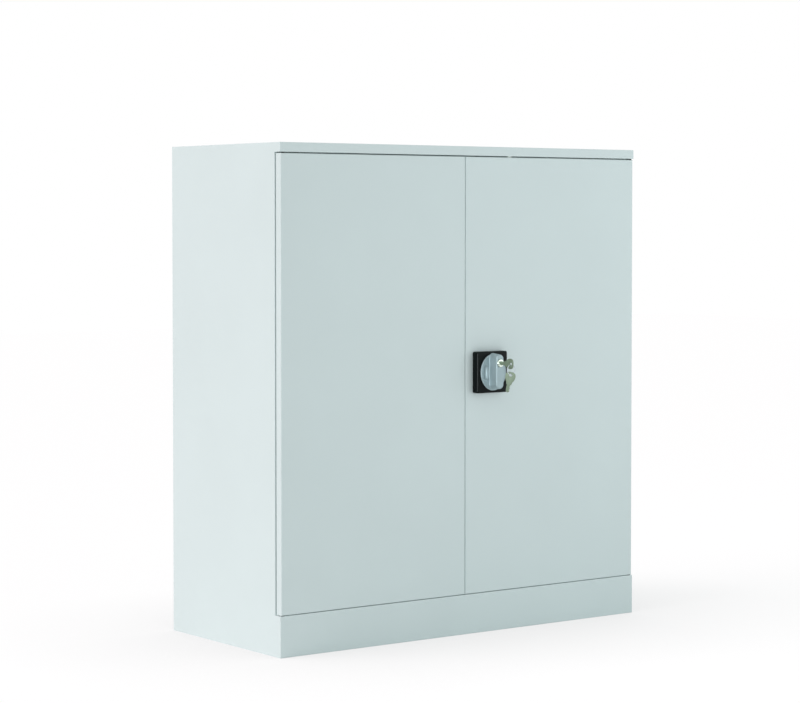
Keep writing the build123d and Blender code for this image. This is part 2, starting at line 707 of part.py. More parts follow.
def hat(inside, foot, sheet, seat, roof, radii):
    """The section of a bridge over a sliding bar: half its inside width, its feet and its two levels."""
    side = inside + sheet
    end = side + foot
    return folded(
        [
            (-end, seat + sheet),
            (-side, seat + sheet),
            (-side, roof + sheet),
            (side, roof + sheet),
            (side, seat + sheet),
            (end, seat + sheet),
        ],
        radii,
        sheet,
    )


def lock_case():
    """The bridge that holds the racks down, slotted at both sides for the bolt."""
    section = hat(
        RACK_OUTER + CASE_SIDE_GAP,
        CASE_FOOT,
        CASE_SHEET,
        BASE_BACK,
        CASE_FRONT,
        [CASE_FOOT_BEND, CASE_BEND, CASE_BEND, CASE_FOOT_BEND],
    )
    low, high = around(KNOB_HEIGHT, CASE_HEIGHT)
    case = Pos(KNOB_X, 0, 0) * along_z(section, low, high)
    wide = BASE_PLATE_WIDTH + 2 * OVERRUN
    case -= span(
        around(KNOB_X, wide),
        (ROD_FRONT - CASE_SLOT_GAP, CASE_FRONT),
        (KNOB_HEIGHT + RACK_TIP - CASE_SLOT_GAP, KNOB_HEIGHT + RACK_OUTER + CASE_SLOT_GAP),
    )
    case -= at_lock(Circle(SPINDLE_TAIL_RADIUS + RUNNING), CASE_FRONT - OVERRUN, CASE_BACK + OVERRUN)
    holes = screw_holes(SCREW_RADIUS + SCREW_HOLE_GAP)
    return case - at_lock(holes, BASE_BACK - OVERRUN, FOOT_BACK + OVERRUN)


def lock_screws():
    """Two slotted screws through the case's feet and the door into the lock plate."""
    head_back = FOOT_BACK + SCREW_HEAD
    screws = []
    for place in screw_places():
        screw = at_lock(place * Circle(SCREW_RADIUS), DOOR_FRONT - SCREW_GRIP, FOOT_BACK)
        screw += at_lock(place * Circle(SCREW_HEAD_RADIUS), FOOT_BACK, head_back)
        slot = place * Rectangle(2 * SCREW_HEAD_RADIUS + OVERRUN, SCREW_SLOT)
        screws.append(screw - at_lock(slot, head_back - SCREW_SLOT_DEPTH, head_back + OVERRUN))
    return Compound(screws)


def rod_guide(x, z):
    """A small bridge welded to the door's skin that keeps a long rod straight."""
    section = hat(
        RACK_BACK / 2 + ROD_SLOT_GAP,
        GUIDE_FOOT,
        GUIDE_SHEET,
        SKIN_BACK,
        ROD_REAR + LAYER_GAP,
        [CASE_FOOT_BEND, BEND, BEND, CASE_FOOT_BEND],
    )
    low, high = around(z, GUIDE_HEIGHT)
    return Pos(x, 0, 0) * along_z(section, low, high)


# Knob and spindle


def knob():
    """The turning knob: a dished disc with two finger recesses and a tapered grip across it."""
    disc = at_lock(Circle(KNOB_RADIUS), KNOB_FRONT, KNOB_BACK)
    disc = chamfer(disc.faces().sort_by(Axis.Y)[0].edges(), KNOB_EDGE)
    grip = RectangleRounded(GRIP_WIDTH, GRIP_LENGTH, GRIP_END_RADIUS)
    boss = Pos(0, BARREL_OFFSET) * Circle(BOSS_RADIUS)
    bar = at_lock(grip, GRIP_FRONT, KNOB_FRONT, taper=GRIP_TAPER)
    bar += at_lock(boss, GRIP_FRONT, KNOB_FRONT, taper=GRIP_TAPER)
    bar = chamfer(bar.faces().sort_by(Axis.Y)[0].edges(), GRIP_EDGE)
    body = disc + bar
    for side in (-1, 1):
        finger = Pos(side * FINGER_OFFSET, 0) * Rot(0, 0, 90) * SlotOverall(FINGER_LENGTH, FINGER_WIDTH)
        body -= at_lock(finger, KNOB_FRONT - OVERRUN, KNOB_FRONT + FINGER_DEPTH)
    barrel_hole = Pos(0, BARREL_OFFSET) * Circle(BARREL_RADIUS)
    body -= at_lock(barrel_hole, GRIP_FRONT - OVERRUN, KNOB_BACK + OVERRUN)
    square = Rectangle(SPINDLE_SQUARE, SPINDLE_SQUARE)
    return body - at_lock(square, KNOB_BACK - SOCKET_DEPTH, KNOB_BACK + OVERRUN)


def spindle():
    """The shaft from the knob to the pinion, square where it drives and round where it turns."""
    square = Rectangle(SPINDLE_SQUARE, SPINDLE_SQUARE)
    shaft = at_lock(square, KNOB_BACK - SOCKET_DEPTH, KNOB_BACK)
    shaft += at_lock(Circle(SPINDLE_RADIUS), KNOB_BACK, RACK_FRONT)
    shaft += at_lock(square, RACK_FRONT, ROD_REAR)
    shaft += at_lock(Circle(SPINDLE_TAIL_RADIUS), ROD_REAR, CASE_BACK + SPINDLE_TAIL)
    groove = Circle(SPINDLE_TAIL_RADIUS + OVERRUN) - Circle(CIRCLIP_GROOVE_RADIUS)
    ring_front = CASE_BACK + CIRCLIP_GAP
    return shaft - at_lock(groove, ring_front, ring_front + CIRCLIP_THICKNESS)


def spindle_clip():
    """The open ring that holds the spindle in the lock case."""
    ring = Circle(CIRCLIP_RADIUS) - Circle(CIRCLIP_GROOVE_RADIUS)
    ring -= Pos(0, -CIRCLIP_RADIUS) * Rectangle(CIRCLIP_MOUTH, 2 * CIRCLIP_RADIUS)
    ring_front = CASE_BACK + CIRCLIP_GAP
    return at_lock(ring, ring_front, ring_front + CIRCLIP_THICKNESS)


def involute(radius):
    """The angle, in radians, that the involute of the base circle has turned at a radius."""
    rolled = math.sqrt(max((radius / BASE_RADIUS) ** 2 - 1, 0))
    return rolled - math.atan(rolled)


def polar(radius, angle):
    return (radius * math.cos(angle), radius * math.sin(angle))


def pinion():
    """The involute gear on the spindle, in mesh with all three racks. A tooth points to the right."""

    def half_angle(radius):
        return TOOTH / 2 / PITCH_RADIUS + involute(PITCH_RADIUS) - involute(radius)

    middle_radius = (BASE_RADIUS + TIP_RADIUS) / 2
    step = 2 * math.pi / PINION_TEETH
    edges = []
    for index in range(PINION_TEETH):
        centre = index * step
        for side in (-1, 1):
            base, middle, tip = [
                polar(radius, centre + side * half_angle(radius))
                for radius in (BASE_RADIUS, middle_radius, TIP_RADIUS)
            ]
            root = polar(ROOT_RADIUS, centre + side * half_angle(BASE_RADIUS))
            edges.append(Line(root, base))
            edges.append(ThreePointArc(base, middle, tip))
        ends = [polar(TIP_RADIUS, centre + side * half_angle(TIP_RADIUS)) for side in (-1, 1)]
        edges.append(ThreePointArc(ends[0], polar(TIP_RADIUS, centre), ends[1]))
        gap_start = polar(ROOT_RADIUS, centre + half_angle(BASE_RADIUS))
        gap_end = polar(ROOT_RADIUS, centre + step - half_angle(BASE_RADIUS))
        edges.append(ThreePointArc(gap_start, polar(ROOT_RADIUS, centre + step / 2), gap_end))
    face = make_face(Wire([curve.edge() for curve in edges]))
    return at_lock(face - Rectangle(SPINDLE_SQUARE, SPINDLE_SQUARE), RACK_FRONT, ROD_REAR)


# Racks, rods and bolt


def rack(low, high, tooth_at_pitch_point, turn, front, back):
    """A toothed bar beside the pinion. It runs along +Y of its sketch and is then turned about the knob."""
    pitch = math.pi * MODULE
    slope = math.tan(math.radians(PRESSURE_ANGLE))
    at_root = TOOTH / 2 + (RACK_ROOT - PITCH_RADIUS) * slope
    at_tip = TOOTH / 2 - (PITCH_RADIUS - RACK_TIP) * slope
    toothed_from = -TRAVEL - RACK_LEAD
    outline = [(RACK_OUTER, high), (RACK_OUTER, low), (RACK_ROOT, low)]
    first = math.ceil((toothed_from + at_root) / pitch)
    last = math.floor((RACK_LEAD - at_root) / pitch)
    for index in range(first, last + 1):
        centre = index * pitch
        if not tooth_at_pitch_point:
            centre += pitch / 2
        outline += [
            (RACK_ROOT, centre - at_root),
            (RACK_TIP, centre - at_tip),
            (RACK_TIP, centre + at_tip),
            (RACK_ROOT, centre + at_root),
        ]
    outline.append((RACK_ROOT, high))
    return at_lock(Rot(0, 0, turn) * make_face(Polyline(*outline, close=True)), front, back)


def rod_rack(turn):
    """The short toothed slide that drives a rod."""
    slide = rack(-TRAVEL - RACK_LEAD, RACK_LENGTH, False, turn, RACK_FRONT, RACK_REAR)
    return slide - at_lock(rivets(turn), RACK_FRONT - OVERRUN, RACK_REAR + OVERRUN)


def rivets(turn):
    """Two circles where a rod is riveted to its rack."""
    ends = (RACK_LENGTH - RIVET_FROM_END, RACK_LENGTH - ROD_OVERLAP + RIVET_FROM_END)
    return Sketch() + [Rot(0, 0, turn) * Pos(ROD_MIDDLE, end) * Circle(RIVET_RADIUS) for end in ends]


def rod(turn, reach):
    """The long flat rod, from its overlap with the rack to its bevelled tip, and its two rivets."""
    start = RACK_LENGTH - ROD_OVERLAP
    side = RACK_BACK / 2
    outline = Polyline(
        (ROD_MIDDLE - side, start),
        (ROD_MIDDLE + side, start),
        (ROD_MIDDLE + side, reach - ROD_TIP_CHAMFER),
        (ROD_MIDDLE + side - ROD_TIP_CHAMFER, reach),
        (ROD_MIDDLE - side + ROD_TIP_CHAMFER, reach),
        (ROD_MIDDLE - side, reach - ROD_TIP_CHAMFER),
        close=True,
    )
    bar = at_lock(Rot(0, 0, turn) * make_face(outline), RACK_REAR, ROD_REAR)
    return bar + at_lock(rivets(turn), RACK_FRONT, RACK_REAR)


def side_bolt():
    """The bolt into the left door, cut as one stamping with its rack."""
    tail = -TRAVEL - RACK_LEAD - BOLT_TAIL
    reach = KNOB_X - RIGHT_EDGE - ROD_TIP_BACK
    bolt = rack(tail, reach, True, 90, ROD_FRONT, ROD_REAR)
    tip = edges_at(bolt, Axis.Y, x=RIGHT_EDGE + ROD_TIP_BACK)
    return chamfer(tip, ROD_TIP_CHAMFER)


# Lock cylinder and keys


def at_barrel(sketch, front, back):
    return at_lock(sketch, front, back, centre_z=BARREL_Z)


def lock_barrel():
    """The fixed shell of the lock cylinder, with the collar that shows on the grip."""
    shell = at_barrel(Circle(BARREL_RADIUS), BARREL_FRONT, KNOB_BACK)
    shell += at_barrel(Circle(COLLAR_RADIUS), BARREL_FRONT, GRIP_FRONT)
    return shell - at_barrel(Circle(BARREL_BORE), BARREL_FRONT - OVERRUN, KNOB_BACK + OVERRUN)


def lock_plug():
    """The turning core, with its keyway in front and a square for the cam behind."""
    plug = at_barrel(Circle(BARREL_BORE - RUNNING), PLUG_FRONT, KNOB_BACK)
    plug += at_barrel(Rectangle(CAM_SQUARE, CAM_SQUARE), KNOB_BACK, CAM_BACK)
    keyway = Rectangle(KEYWAY_WIDTH, KEYWAY_HEIGHT)
    return plug - at_barrel(keyway, PLUG_FRONT - OVERRUN, PLUG_FRONT + KEYWAY_DEPTH)


def lock_cam():
    """The flat cam that lies along its track while the key is upright, and across it when turned."""
    cam = Rectangle(CAM_LENGTH, CAM_WIDTH) - Rectangle(CAM_SQUARE, CAM_SQUARE)
    return at_barrel(cam, CAM_FRONT, CAM_BACK)


def key_blank():
    """A flat key about the middle of its hole, with its grooved blade along +X."""
    bow_start = -KEY_HOLE_FROM_END
    bow_end = bow_start + KEY_BOW_LENGTH
    neck_end = bow_end + KEY_NECK_LENGTH
    tip = bow_end + KEY_SHANK
    bow = KEY_BOW_WIDTH / 2
    neck = KEY_NECK / 2
    blade = KEY_BLADE / 2
    outline = make_face(
        Polyline(
            (bow_start, -bow),
            (bow_end, -neck),
            (neck_end, -neck),
            (neck_end, -blade),
            (tip - blade, -blade),
            (tip, -blade / 2),
            (tip, blade / 2),
            (tip - blade / 2, blade),
            (neck_end, blade),
            (neck_end, neck),
            (bow_end, neck),
            (bow_start, bow),
            close=True,
        )
    )
    outline = fillet(outline.vertices().group_by(Axis.X)[0], KEY_BOW_CORNER)
    outline -= Circle(KEY_HOLE_RADIUS)
    for index, depth in enumerate(KEY_CUTS):
        place = tip - blade - (index + 1 / 2) * KEY_CUT_SPACING
        outline -= make_face(
            Polyline((place - depth, -blade), (place, -blade + depth), (place + depth, -blade), close=True)
        )
    blank = extrude(outline, amount=KEY_THICKNESS / 2, both=True)
    groove_floor = KEY_THICKNESS / 2 - KEY_GROOVE_DEPTH
    for side in (-1, 1):
        blank -= span(
            (neck_end, tip + OVERRUN),
            around(0, KEY_GROOVE_WIDTH),
            (side * groove_floor, side * (KEY_THICKNESS / 2 + OVERRUN)),
        )
    return blank


def key():
    """The key in the lock, upright."""
    plane = Plane(origin=(KNOB_X, KEY_HOLE_Y, BARREL_Z), x_dir=(0, 1, 0), z_dir=(1, 0, 0))
    return plane.location * key_blank()


def key_ring():
    """The ring through the key's hole."""
    section = Pos(RING_RADIUS, 0) * RegularPolygon(RING_WIRE, RING_SIDES)
    return Pos(KNOB_X, KEY_HOLE_Y, RING_TOP - RING_RADIUS) * revolve(section, Axis.Y)


def spare_key():
    """The second key, hanging from the ring with its bow turned to one side."""
    lean = math.radians(SPARE_LEAN)
    hole_y = KEY_HOLE_Y + SPARE_DROP * math.sin(lean)
    hole = Pos(KNOB_X, hole_y, RING_BOTTOM - SPARE_DROP * math.cos(lean))
    return hole * Rot(SPARE_LEAN, 0, 0) * Rot(0, 0, SPARE_TURN) * Rot(0, 90, 0) * key_blank()


def pieces():
    """Every piece by name."""
    left_side = side_panel()
    found = {
        "left_side_panel": left_side,
        "right_side_panel": mirrored(left_side),
        "top_panel": top_panel(),
        "back_panel": back_panel(),
        "floor_panel": floor_panel(),
        "plinth": plinth(),
        "shelf": shelf(),
        "shelf_clips": shelf_clips(),
        "door_buffers": door_buffers(),
        "door_pad": door_pad(),
        "hinge_bushes": hinge_bushes(),
        "left_door_pan": left_door_pan(),
        "left_door_inner_skin": inner_skin((-DOOR_OUTER + SHEET, LEFT_EDGE - SHEET), False),
        "right_door_pan": right_door_pan(),
        "right_door_inner_skin": inner_skin((LOCK_CHANNEL, DOOR_OUTER - SHEET), True),
        "left_door_pins": hinge_pins(-1),
        "right_door_pins": hinge_pins(1),
        "escutcheon": escutcheon(),
        "lock_base": lock_base(),
        "lock_case": lock_case(),
        "lock_screws": lock_screws(),
        "upper_rod_guide": rod_guide(UPPER_ROD_X, DOOR_TOP - GUIDE_FROM_END),
        "lower_rod_guide": rod_guide(LOWER_ROD_X, DOOR_BOTTOM + GUIDE_FROM_END),
        "knob": knob(),
        "lock_barrel": lock_barrel(),
        "spindle": spindle(),
        "spindle_clip": spindle_clip(),
        "pinion": pinion(),
        "side_bolt": side_bolt(),
        "lock_plug": lock_plug(),
        "lock_cam": lock_cam(),
        "key": key(),
        "key_ring": key_ring(),
        "spare_key": spare_key(),
    }
    for place, middle_y in (("front", FRONT_UPRIGHT), ("back", BACK_UPRIGHT)):
        channel = upright(middle_y)
        found[f"{place}_left_upright"] = channel
        found[f"{place}_right_upright"] = mirrored(channel)
    upper_reach = DOOR_TOP - ROD_TIP_BACK - KNOB_HEIGHT
    lower_reach = KNOB_HEIGHT - DOOR_BOTTOM - ROD_TIP_BACK
    for place, turn, reach in (("upper", 0, upper_reach), ("lower", 180, lower_reach)):
        found[f"{place}_rack"] = rod_rack(turn)
        found[f"{place}_rod"] = rod(turn, reach)
    return found


os.makedirs("parts", exist_ok=True)
for name, piece in pieces().items():
    export_step(piece, f"parts/{name}.step")
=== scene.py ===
"""Dresses a low two-door steel cupboard: its paint, lock, keys, hinges and fittings, in a pale studio."""

import json
import math

import bmesh
import bpy
from bpy.props import FloatProperty, FloatVectorProperty, PointerProperty
from mathutils import Euler, Matrix, Vector

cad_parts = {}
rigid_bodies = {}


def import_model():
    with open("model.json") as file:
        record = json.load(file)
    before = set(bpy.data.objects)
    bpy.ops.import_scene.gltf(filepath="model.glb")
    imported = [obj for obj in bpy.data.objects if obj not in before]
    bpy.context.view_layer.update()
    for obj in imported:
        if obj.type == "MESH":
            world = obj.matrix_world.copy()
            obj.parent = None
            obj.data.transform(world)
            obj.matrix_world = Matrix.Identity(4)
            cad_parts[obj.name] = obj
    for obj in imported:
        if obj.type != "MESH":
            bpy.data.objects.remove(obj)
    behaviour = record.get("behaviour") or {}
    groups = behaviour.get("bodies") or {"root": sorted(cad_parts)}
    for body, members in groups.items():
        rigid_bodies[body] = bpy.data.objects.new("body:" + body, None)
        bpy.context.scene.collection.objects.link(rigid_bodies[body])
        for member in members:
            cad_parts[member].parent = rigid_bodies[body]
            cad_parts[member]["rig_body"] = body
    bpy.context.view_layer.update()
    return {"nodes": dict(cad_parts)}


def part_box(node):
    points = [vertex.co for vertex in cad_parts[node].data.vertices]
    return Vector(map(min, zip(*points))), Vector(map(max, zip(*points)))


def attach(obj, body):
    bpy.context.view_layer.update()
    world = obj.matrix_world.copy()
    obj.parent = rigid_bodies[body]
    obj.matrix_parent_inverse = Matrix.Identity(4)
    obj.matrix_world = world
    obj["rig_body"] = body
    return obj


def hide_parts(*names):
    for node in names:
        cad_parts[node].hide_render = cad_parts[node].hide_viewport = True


bl_info = {
    "name": "Two-door steel cupboard",
    "version": (1, 0, 0),
    "blender": (4, 5, 0),
    "location": "View3D > Sidebar > Cupboard",
    "description": "Paint, lock, keys, hinges and small fittings for a low steel cupboard",
    "category": "Add Mesh",
}

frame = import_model()

MM = 0.001
MERGE = 0.002 * MM  # points nearer than this are one
RUNNING = 0.25 * MM  # clearance round whatever turns
THROUGH = 1 * MM  # how far a cutting tool reaches out of the piece
SHARP = math.radians(32)  # edges sharper than this stay crisp
ROUND_SIDES = 96
DISC_SIDES = 128
QUARTER = [math.radians(15 * step) for step in range(7)]  # a quarter turn, in steps
TOWARDS_BACK = (-math.pi / 2, 0.0, 0.0)  # turns +Z to +Y
TOWARDS_FRONT = (math.pi / 2, 0.0, 0.0)  # turns +Z to -Y

# Weld marks: shares of the mark's radius and height, from the middle of its foot up over its rim
WELD_LINE = ((0.0, -1.0), (1.0, -1.0), (0.95, 0.6), (0.8, 1.0), (0.6, 0.7), (0.0, 0.5))
WELD_FROM_SIDE = 7.5 * MM
WELD_FROM_END = 30 * MM

# Lock plate
PLATE_CORNER = 4.0 * MM
PLATE_BEVEL = ((0.0, 1.1), (0.05, 0.9), (0.9, 0.05), (1.1, 0.0))  # shares of the bevel: inwards, and down
RECESS_STEP = 0.2 * MM  # left under the knob's hub and the cam
SPINDLE_HOLE = 6.5 * MM
CAM_POCKET = 26.5 * MM

# Knob
HUB_RADIUS = 31.0 * MM
DISC_EDGE = 1.5 * MM
DISH_EDGE = 3.2 * MM  # width of the disc's rim, outside its dish
DISH_DEPTH = 0.8 * MM
HOLLOW_OFFSET = 19.8 * MM
HOLLOW_WIDTH = 11.4 * MM
HOLLOW_LENGTH = 31.0 * MM
GRIP_TOP = 37.2 * MM  # ends of the grip, from the knob's middle
GRIP_BOTTOM = -33.4 * MM
GRIP_WAIST = 0.6  # share of the grip's rise at which its flanks steepen
GRIP_EDGE = 1.8 * MM  # depth of the soft edge round its front
GRIP_SPREADS = (1.6, 1.2, 0.5, 0.0, -0.6, -1.9)  # millimetres past its width at each level, going up
GRIP_END_SPREAD = 1.4  # the same at its ends, for each millimetre at its flanks
CASTING_GRAIN = 0.6 * MM  # size of the squares that the casting's skin is made of

# Keys and ring
KEY_THICKNESS = 2.2 * MM
KEY_BLADE = 7.5 * MM
KEY_HOLE = 3.25 * MM
KEY_HOLE_FROM_END = 6.5 * MM
KEY_GROOVE = 1.4 * MM
KEY_GROOVE_DEPTH = 0.5 * MM
KEY_CUT_PITCH = 3.2 * MM
KEY_CUTS = (0.9, 1.8, 0.9, 1.8)  # depths in millimetres, from the bow
# Half of a bow's outline: millimetres from its end, and share of its half width.
BOW_LINE = ((0.0, 0.0), (0.2, 0.42), (2.0, 0.8), (6.0, 1.0), (12.5, 1.0), (17.5, 0.84), (21.5, 0.62),
            (25.0, 0.53), (27.0, 0.52))
BOW_STEPS = 6  # between two points of that outline
SPARE_TURN = math.radians(45)  # about its own length
SPARE_LEAN = math.radians(17.5)  # tip towards the door
SPARE_DROP = 1.2 * MM  # from the ring's wire to the middle of the spare key's hole
SPARE_BACK = 1.2 * MM  # from the wire's middle towards the door
RING_WIRE = 0.75 * MM
RING_MARGIN = 0.1 * MM  # between the split ring and the round ring that it stands for
LEAF_PITCH = 1.04  # of the ring's turns, as a share of the wire's thickness
LEAF_CORNER = 0.12 * MM

# Small fittings
RIVET_FROM_END = 4.5 * MM
RIVET_PITCH = 9.0 * MM
BUFFER_RADIUS = 5.0 * MM
BUFFER_LINE = ((0.0, 0.0), (1.0, 0.0), (1.0, 0.55), (0.9, 0.85), (0.6, 1.0), (0.0, 1.0))  # as WELD_LINE
PAD_EDGE = 0.5 * MM

# Studio, in metres
FLOOR_REACH = 12.0
FLOOR_CONTACT = 0.5  # how far from the cupboard the floor's painted contact shadow reaches
FLOOR_CONTACT_SHADE = 0.72  # of white, right under its foot: the darkest of the painted contact shadow
DOORS = (0.2, -0.2, 0.5)
LOCK = (0.05, -0.2, 0.54)
FILL_PLACE = (2.3, -2.7, 0.8)
FILL_BREADTH = 3.0
SHEEN_PLACE = (-3.1, -2.5, 0.7)
SHEEN_BREADTH = 1.2

PAINTED = (
    "left_side_panel right_side_panel top_panel back_panel floor_panel plinth shelf front_left_upright "
    "front_right_upright back_left_upright back_right_upright left_door_pan left_door_inner_skin "
    "right_door_pan right_door_inner_skin upper_rod_guide lower_rod_guide"
).split()
PLATED = (
    "lock_base lock_case spindle spindle_clip pinion side_bolt upper_rack upper_rod lower_rack lower_rod"
).split()


def linear(hex_colour):
    """A hex sRGB colour as linear red, green, blue and alpha."""
    channels = [int(hex_colour[place : place + 2], 16) / 255 for place in (1, 3, 5)]
    return tuple(c / 12.92 if c <= 0.04045 else ((c + 0.055) / 1.055) ** 2.4 for c in channels) + (1.0,)


def colour(name, description, hex_colour):
    """A colour that the user can set."""
    return FloatVectorProperty(
        name=name, description=description, subtype="COLOR", min=0.0, max=1.0, default=linear(hex_colour)[:3]
    )


def length(name, description, millimetres):
    """A length that the user can set."""
    return FloatProperty(name=name, description=description, unit="LENGTH", precision=5,
                         default=millimetres * MM)


def angle(name, description, degrees):
    """An angle that the user can set."""
    return FloatProperty(name=name, description=description, subtype="ANGLE", default=math.radians(degrees))


def power(name, description, watts):
    """A lamp's power that the user can set."""
    return FloatProperty(name=name, description=description, subtype="POWER", default=watts, min=0.0)


def number(name, description, value, least=0.0, most=1000.0):
    """A plain number that the user can set."""
    return FloatProperty(name=name, description=description, default=value, min=least, max=most)


class CupboardColours(bpy.types.PropertyGroup):
    paint: colour("Paint", "Powder coat of all the sheet steel", "#CCDBDA")
    plate: colour("Lock plate", "Moulded plate behind the knob", "#040C0C")
    knob: colour("Knob", "Silver-lacquered casting", "#9BAEB2")
    cylinder: colour("Cylinder", "Polished nickel of the lock's barrel and plug", "#CFD9CE")
    keys: colour("Keys", "Worn nickel silver", "#7C8D78")
    zinc: colour("Zinc", "Plated pins, rods, racks and ring", "#B4BABF")
    nylon: colour("Nylon", "Pad over the door", "#C6CECA")
    rubber: colour("Rubber", "Buffers that the doors close against", "#1B1B1B")
    floor: colour("Floor", "Studio floor, for the light that it throws back", "#EDEEEE")


class CupboardSizes(bpy.types.PropertyGroup):
    plate_rise: length("Plate rise", "How far the lock plate stands out from the door", 16.0)
    plate_edge: length("Plate edges", "Breadth of the bevel round the moulding's front", 2.4)
    knob_width: length("Knob width", "Width of the knob's oval disc", 65.4)
    knob_height: length("Knob height", "Height of the knob's oval disc", 75.2)
    knob_rise: length("Knob rise", "How far the knob's disc stands out from the plate", 3.8)
    grip_width: length("Grip width", "Width of the knob's grip at its front", 18.6)
    hollow_depth: length("Hollow depth", "Depth of the finger hollows in the disc", 5.5)
    barrel_edge: length("Barrel edge", "Radius of the cylinder barrel's front edge", 1.7)
    cylinder_edge: length("Plug edges", "Radius of the plug's edges", 0.35)
    bow_width: length("Bow width", "Width of the keys' bows", 20.6)
    key_length: length("Key length", "Length of each key, from its bow to its tip", 43.5)
    key_edge: length("Key edges", "Radius of the tumbled keys' edges", 0.3)
    pressed_edge: length("Pressed edges", "Radius of the edges of small stampings", 0.15)
    ring_wire: length("Ring wire", "Depth of the split ring's flat wire", 1.2)
    ring_leaf: length("Ring leaf", "Thickness of each turn of the split ring", 0.6)
    ring_turns: number("Ring turns", "Turns of the split ring", 1.9, least=1.2, most=3.0)
    weld_radius: length("Weld marks", "Radius of a spot weld's mark", 3.0)
    weld_height: length("Weld height", "How far a weld's rim stands up under the paint", 0.12)
    weld_pitch: length("Weld pitch", "Distance between spot welds", 90.0)
    rivet_radius: length("Rivet heads", "Radius of the rivets' heads", 3.0)
    rivet_height: length("Rivet height", "Height of the rivets' heads", 0.9)


class CupboardStudio(bpy.types.PropertyGroup):
    distance: length("Distance", "From the cupboard's middle to the camera, along the floor", 5013.8)
    side: length("Side shift", "How far the camera stands to the left of that line", 16.5)
    height: length("Height", "Height of the camera", 848.6)
    yaw: angle("Turn", "How far the camera stands round to the left", 36.58)
    pitch: angle("Tilt", "How far the camera looks down", 2.07)
    focal_length: number("Focal length", "In millimetres, on a 36 mm sensor", 107.0, least=1.0)
    shift: number("Shift", "Vertical shift, as a share of the width", -0.0563, least=-1.0)
    key: number("Key light", "Strength of the broad light from the left", 2.1)
    key_turn: angle("Key turn", "How far the key light stands behind the left side", 15)
    key_rise: angle("Key rise", "Height of the key light above the floor", 42)
    key_spread: angle("Key spread", "Breadth of the key light as seen from the cupboard", 50)
    fill: power("Fill light", "Soft light on the doors, from their right", 36.0)
    sheen: power("Sheen light", "Light beside the camera that shows in gloss alone", 150.0)
    surround: number("Surround", "Even light from the pale room", 0.57)
    # The white share carries the floor's painted contact shadow.
    floor_glow: number("Floor white", "Share of plain white in the floor as it is seen", 0.85, most=1.0)


def add(tree, kind, inputs=None, **settings):
    """Adds a node to a tree, with its settings and with the values or links of its inputs."""
    node = tree.nodes.new(kind)
    for name, value in settings.items():
        setattr(node, name, value)
    for name, value in (inputs or {}).items():
        if isinstance(value, bpy.types.NodeSocket):
            tree.links.new(value, node.inputs[name])
        else:
            node.inputs[name].default_value = value
    return node


# Finishes


def blank_material(name):
    """A new material and its empty tree."""
    material = bpy.data.materials.new(name)
    material.use_nodes = True
    material.node_tree.nodes.clear()
    return material, material.node_tree


def powder_coat(colour):
    """Polyester powder, sprayed and baked on the steel: an even semi-matt skin with a little orange peel."""
    material, tree = blank_material("Polyester_Powder_Coat")
    place = add(tree, "ShaderNodeTexCoord").outputs["Object"]
    # The coat is a hair deeper in colour where it lies thicker, in patches about 200 mm across.
    patches = add(tree, "ShaderNodeTexNoise", {"Vector": place, "Scale": 5.0, "Detail": 2.0})
    tint = add(tree, "ShaderNodeValToRGB", {"Fac": patches.outputs[0]})
    tint.color_ramp.elements[0].position = 0.3
    tint.color_ramp.elements[1].position = 0.7
    tint.color_ramp.elements[0].color = tuple(0.985 * c for c in colour) + (1.0,)
    tint.color_ramp.elements[1].color = tuple(min(1.0, 1.01 * c) for c in colour) + (1.0,)
    sheen = add(tree, "ShaderNodeMapRange", {"Value": patches.outputs[0], "To Min": 0.40, "To Max": 0.46})
    # Orange peel is 2 mm from crest to crest, too fine to show from here, so it is drawn at 6 mm.
    peel = add(tree, "ShaderNodeTexNoise", {"Vector": place, "Scale": 1 / (6 * MM), "Detail": 1.0})
    # The powder's own grain, 0.4 mm across, shows only close to.
    grain = add(tree, "ShaderNodeTexNoise", {"Vector": place, "Scale": 1 / (0.4 * MM), "Detail": 1.0})
    waves = add(tree, "ShaderNodeBump", {"Height": peel.outputs[0], "Strength": 0.06, "Distance": 0.4 * MM})
    skin = add(tree, "ShaderNodeBump", {"Height": grain.outputs[0], "Strength": 0.05, "Distance": 0.05 * MM,
                                        "Normal": waves.outputs["Normal"]})
    surface = add(tree, "ShaderNodeBsdfPrincipled", {"Base Color": tint.outputs["Color"], "IOR": 1.5,
                                                     "Roughness": sheen.outputs["Result"],
                                                     "Normal": skin.outputs["Normal"]})
    add(tree, "ShaderNodeOutputMaterial", {"Surface": surface.outputs[0]})
    return material


def spark_eroded_abs(colour):
    """Black ABS from a spark-eroded mould: a fine even grain that takes most of its shine away."""
    material, tree = blank_material("Spark_Eroded_ABS")
    place = add(tree, "ShaderNodeTexCoord").outputs["Object"]
    # The mould's grain is 0.3 mm across and is drawn at 0.6 mm, to show as a soft mottle.
    grain = add(tree, "ShaderNodeTexNoise", {"Vector": place, "Scale": 1 / (0.6 * MM), "Detail": 3.0})
    sheen = add(tree, "ShaderNodeMapRange", {"Value": grain.outputs[0], "To Min": 0.30, "To Max": 0.42})
    skin = add(tree, "ShaderNodeBump", {"Height": grain.outputs[0], "Strength": 0.25, "Distance": 0.05 * MM})
    surface = add(tree, "ShaderNodeBsdfPrincipled", {"Base Color": (*colour, 1.0), "IOR": 1.54,
                                                     "Specular IOR Level": 0.08,
                                                     "Roughness": sheen.outputs["Result"],
                                                     "Normal": skin.outputs["Normal"]})
    add(tree, "ShaderNodeOutputMaterial", {"Surface": surface.outputs[0]})
    return material


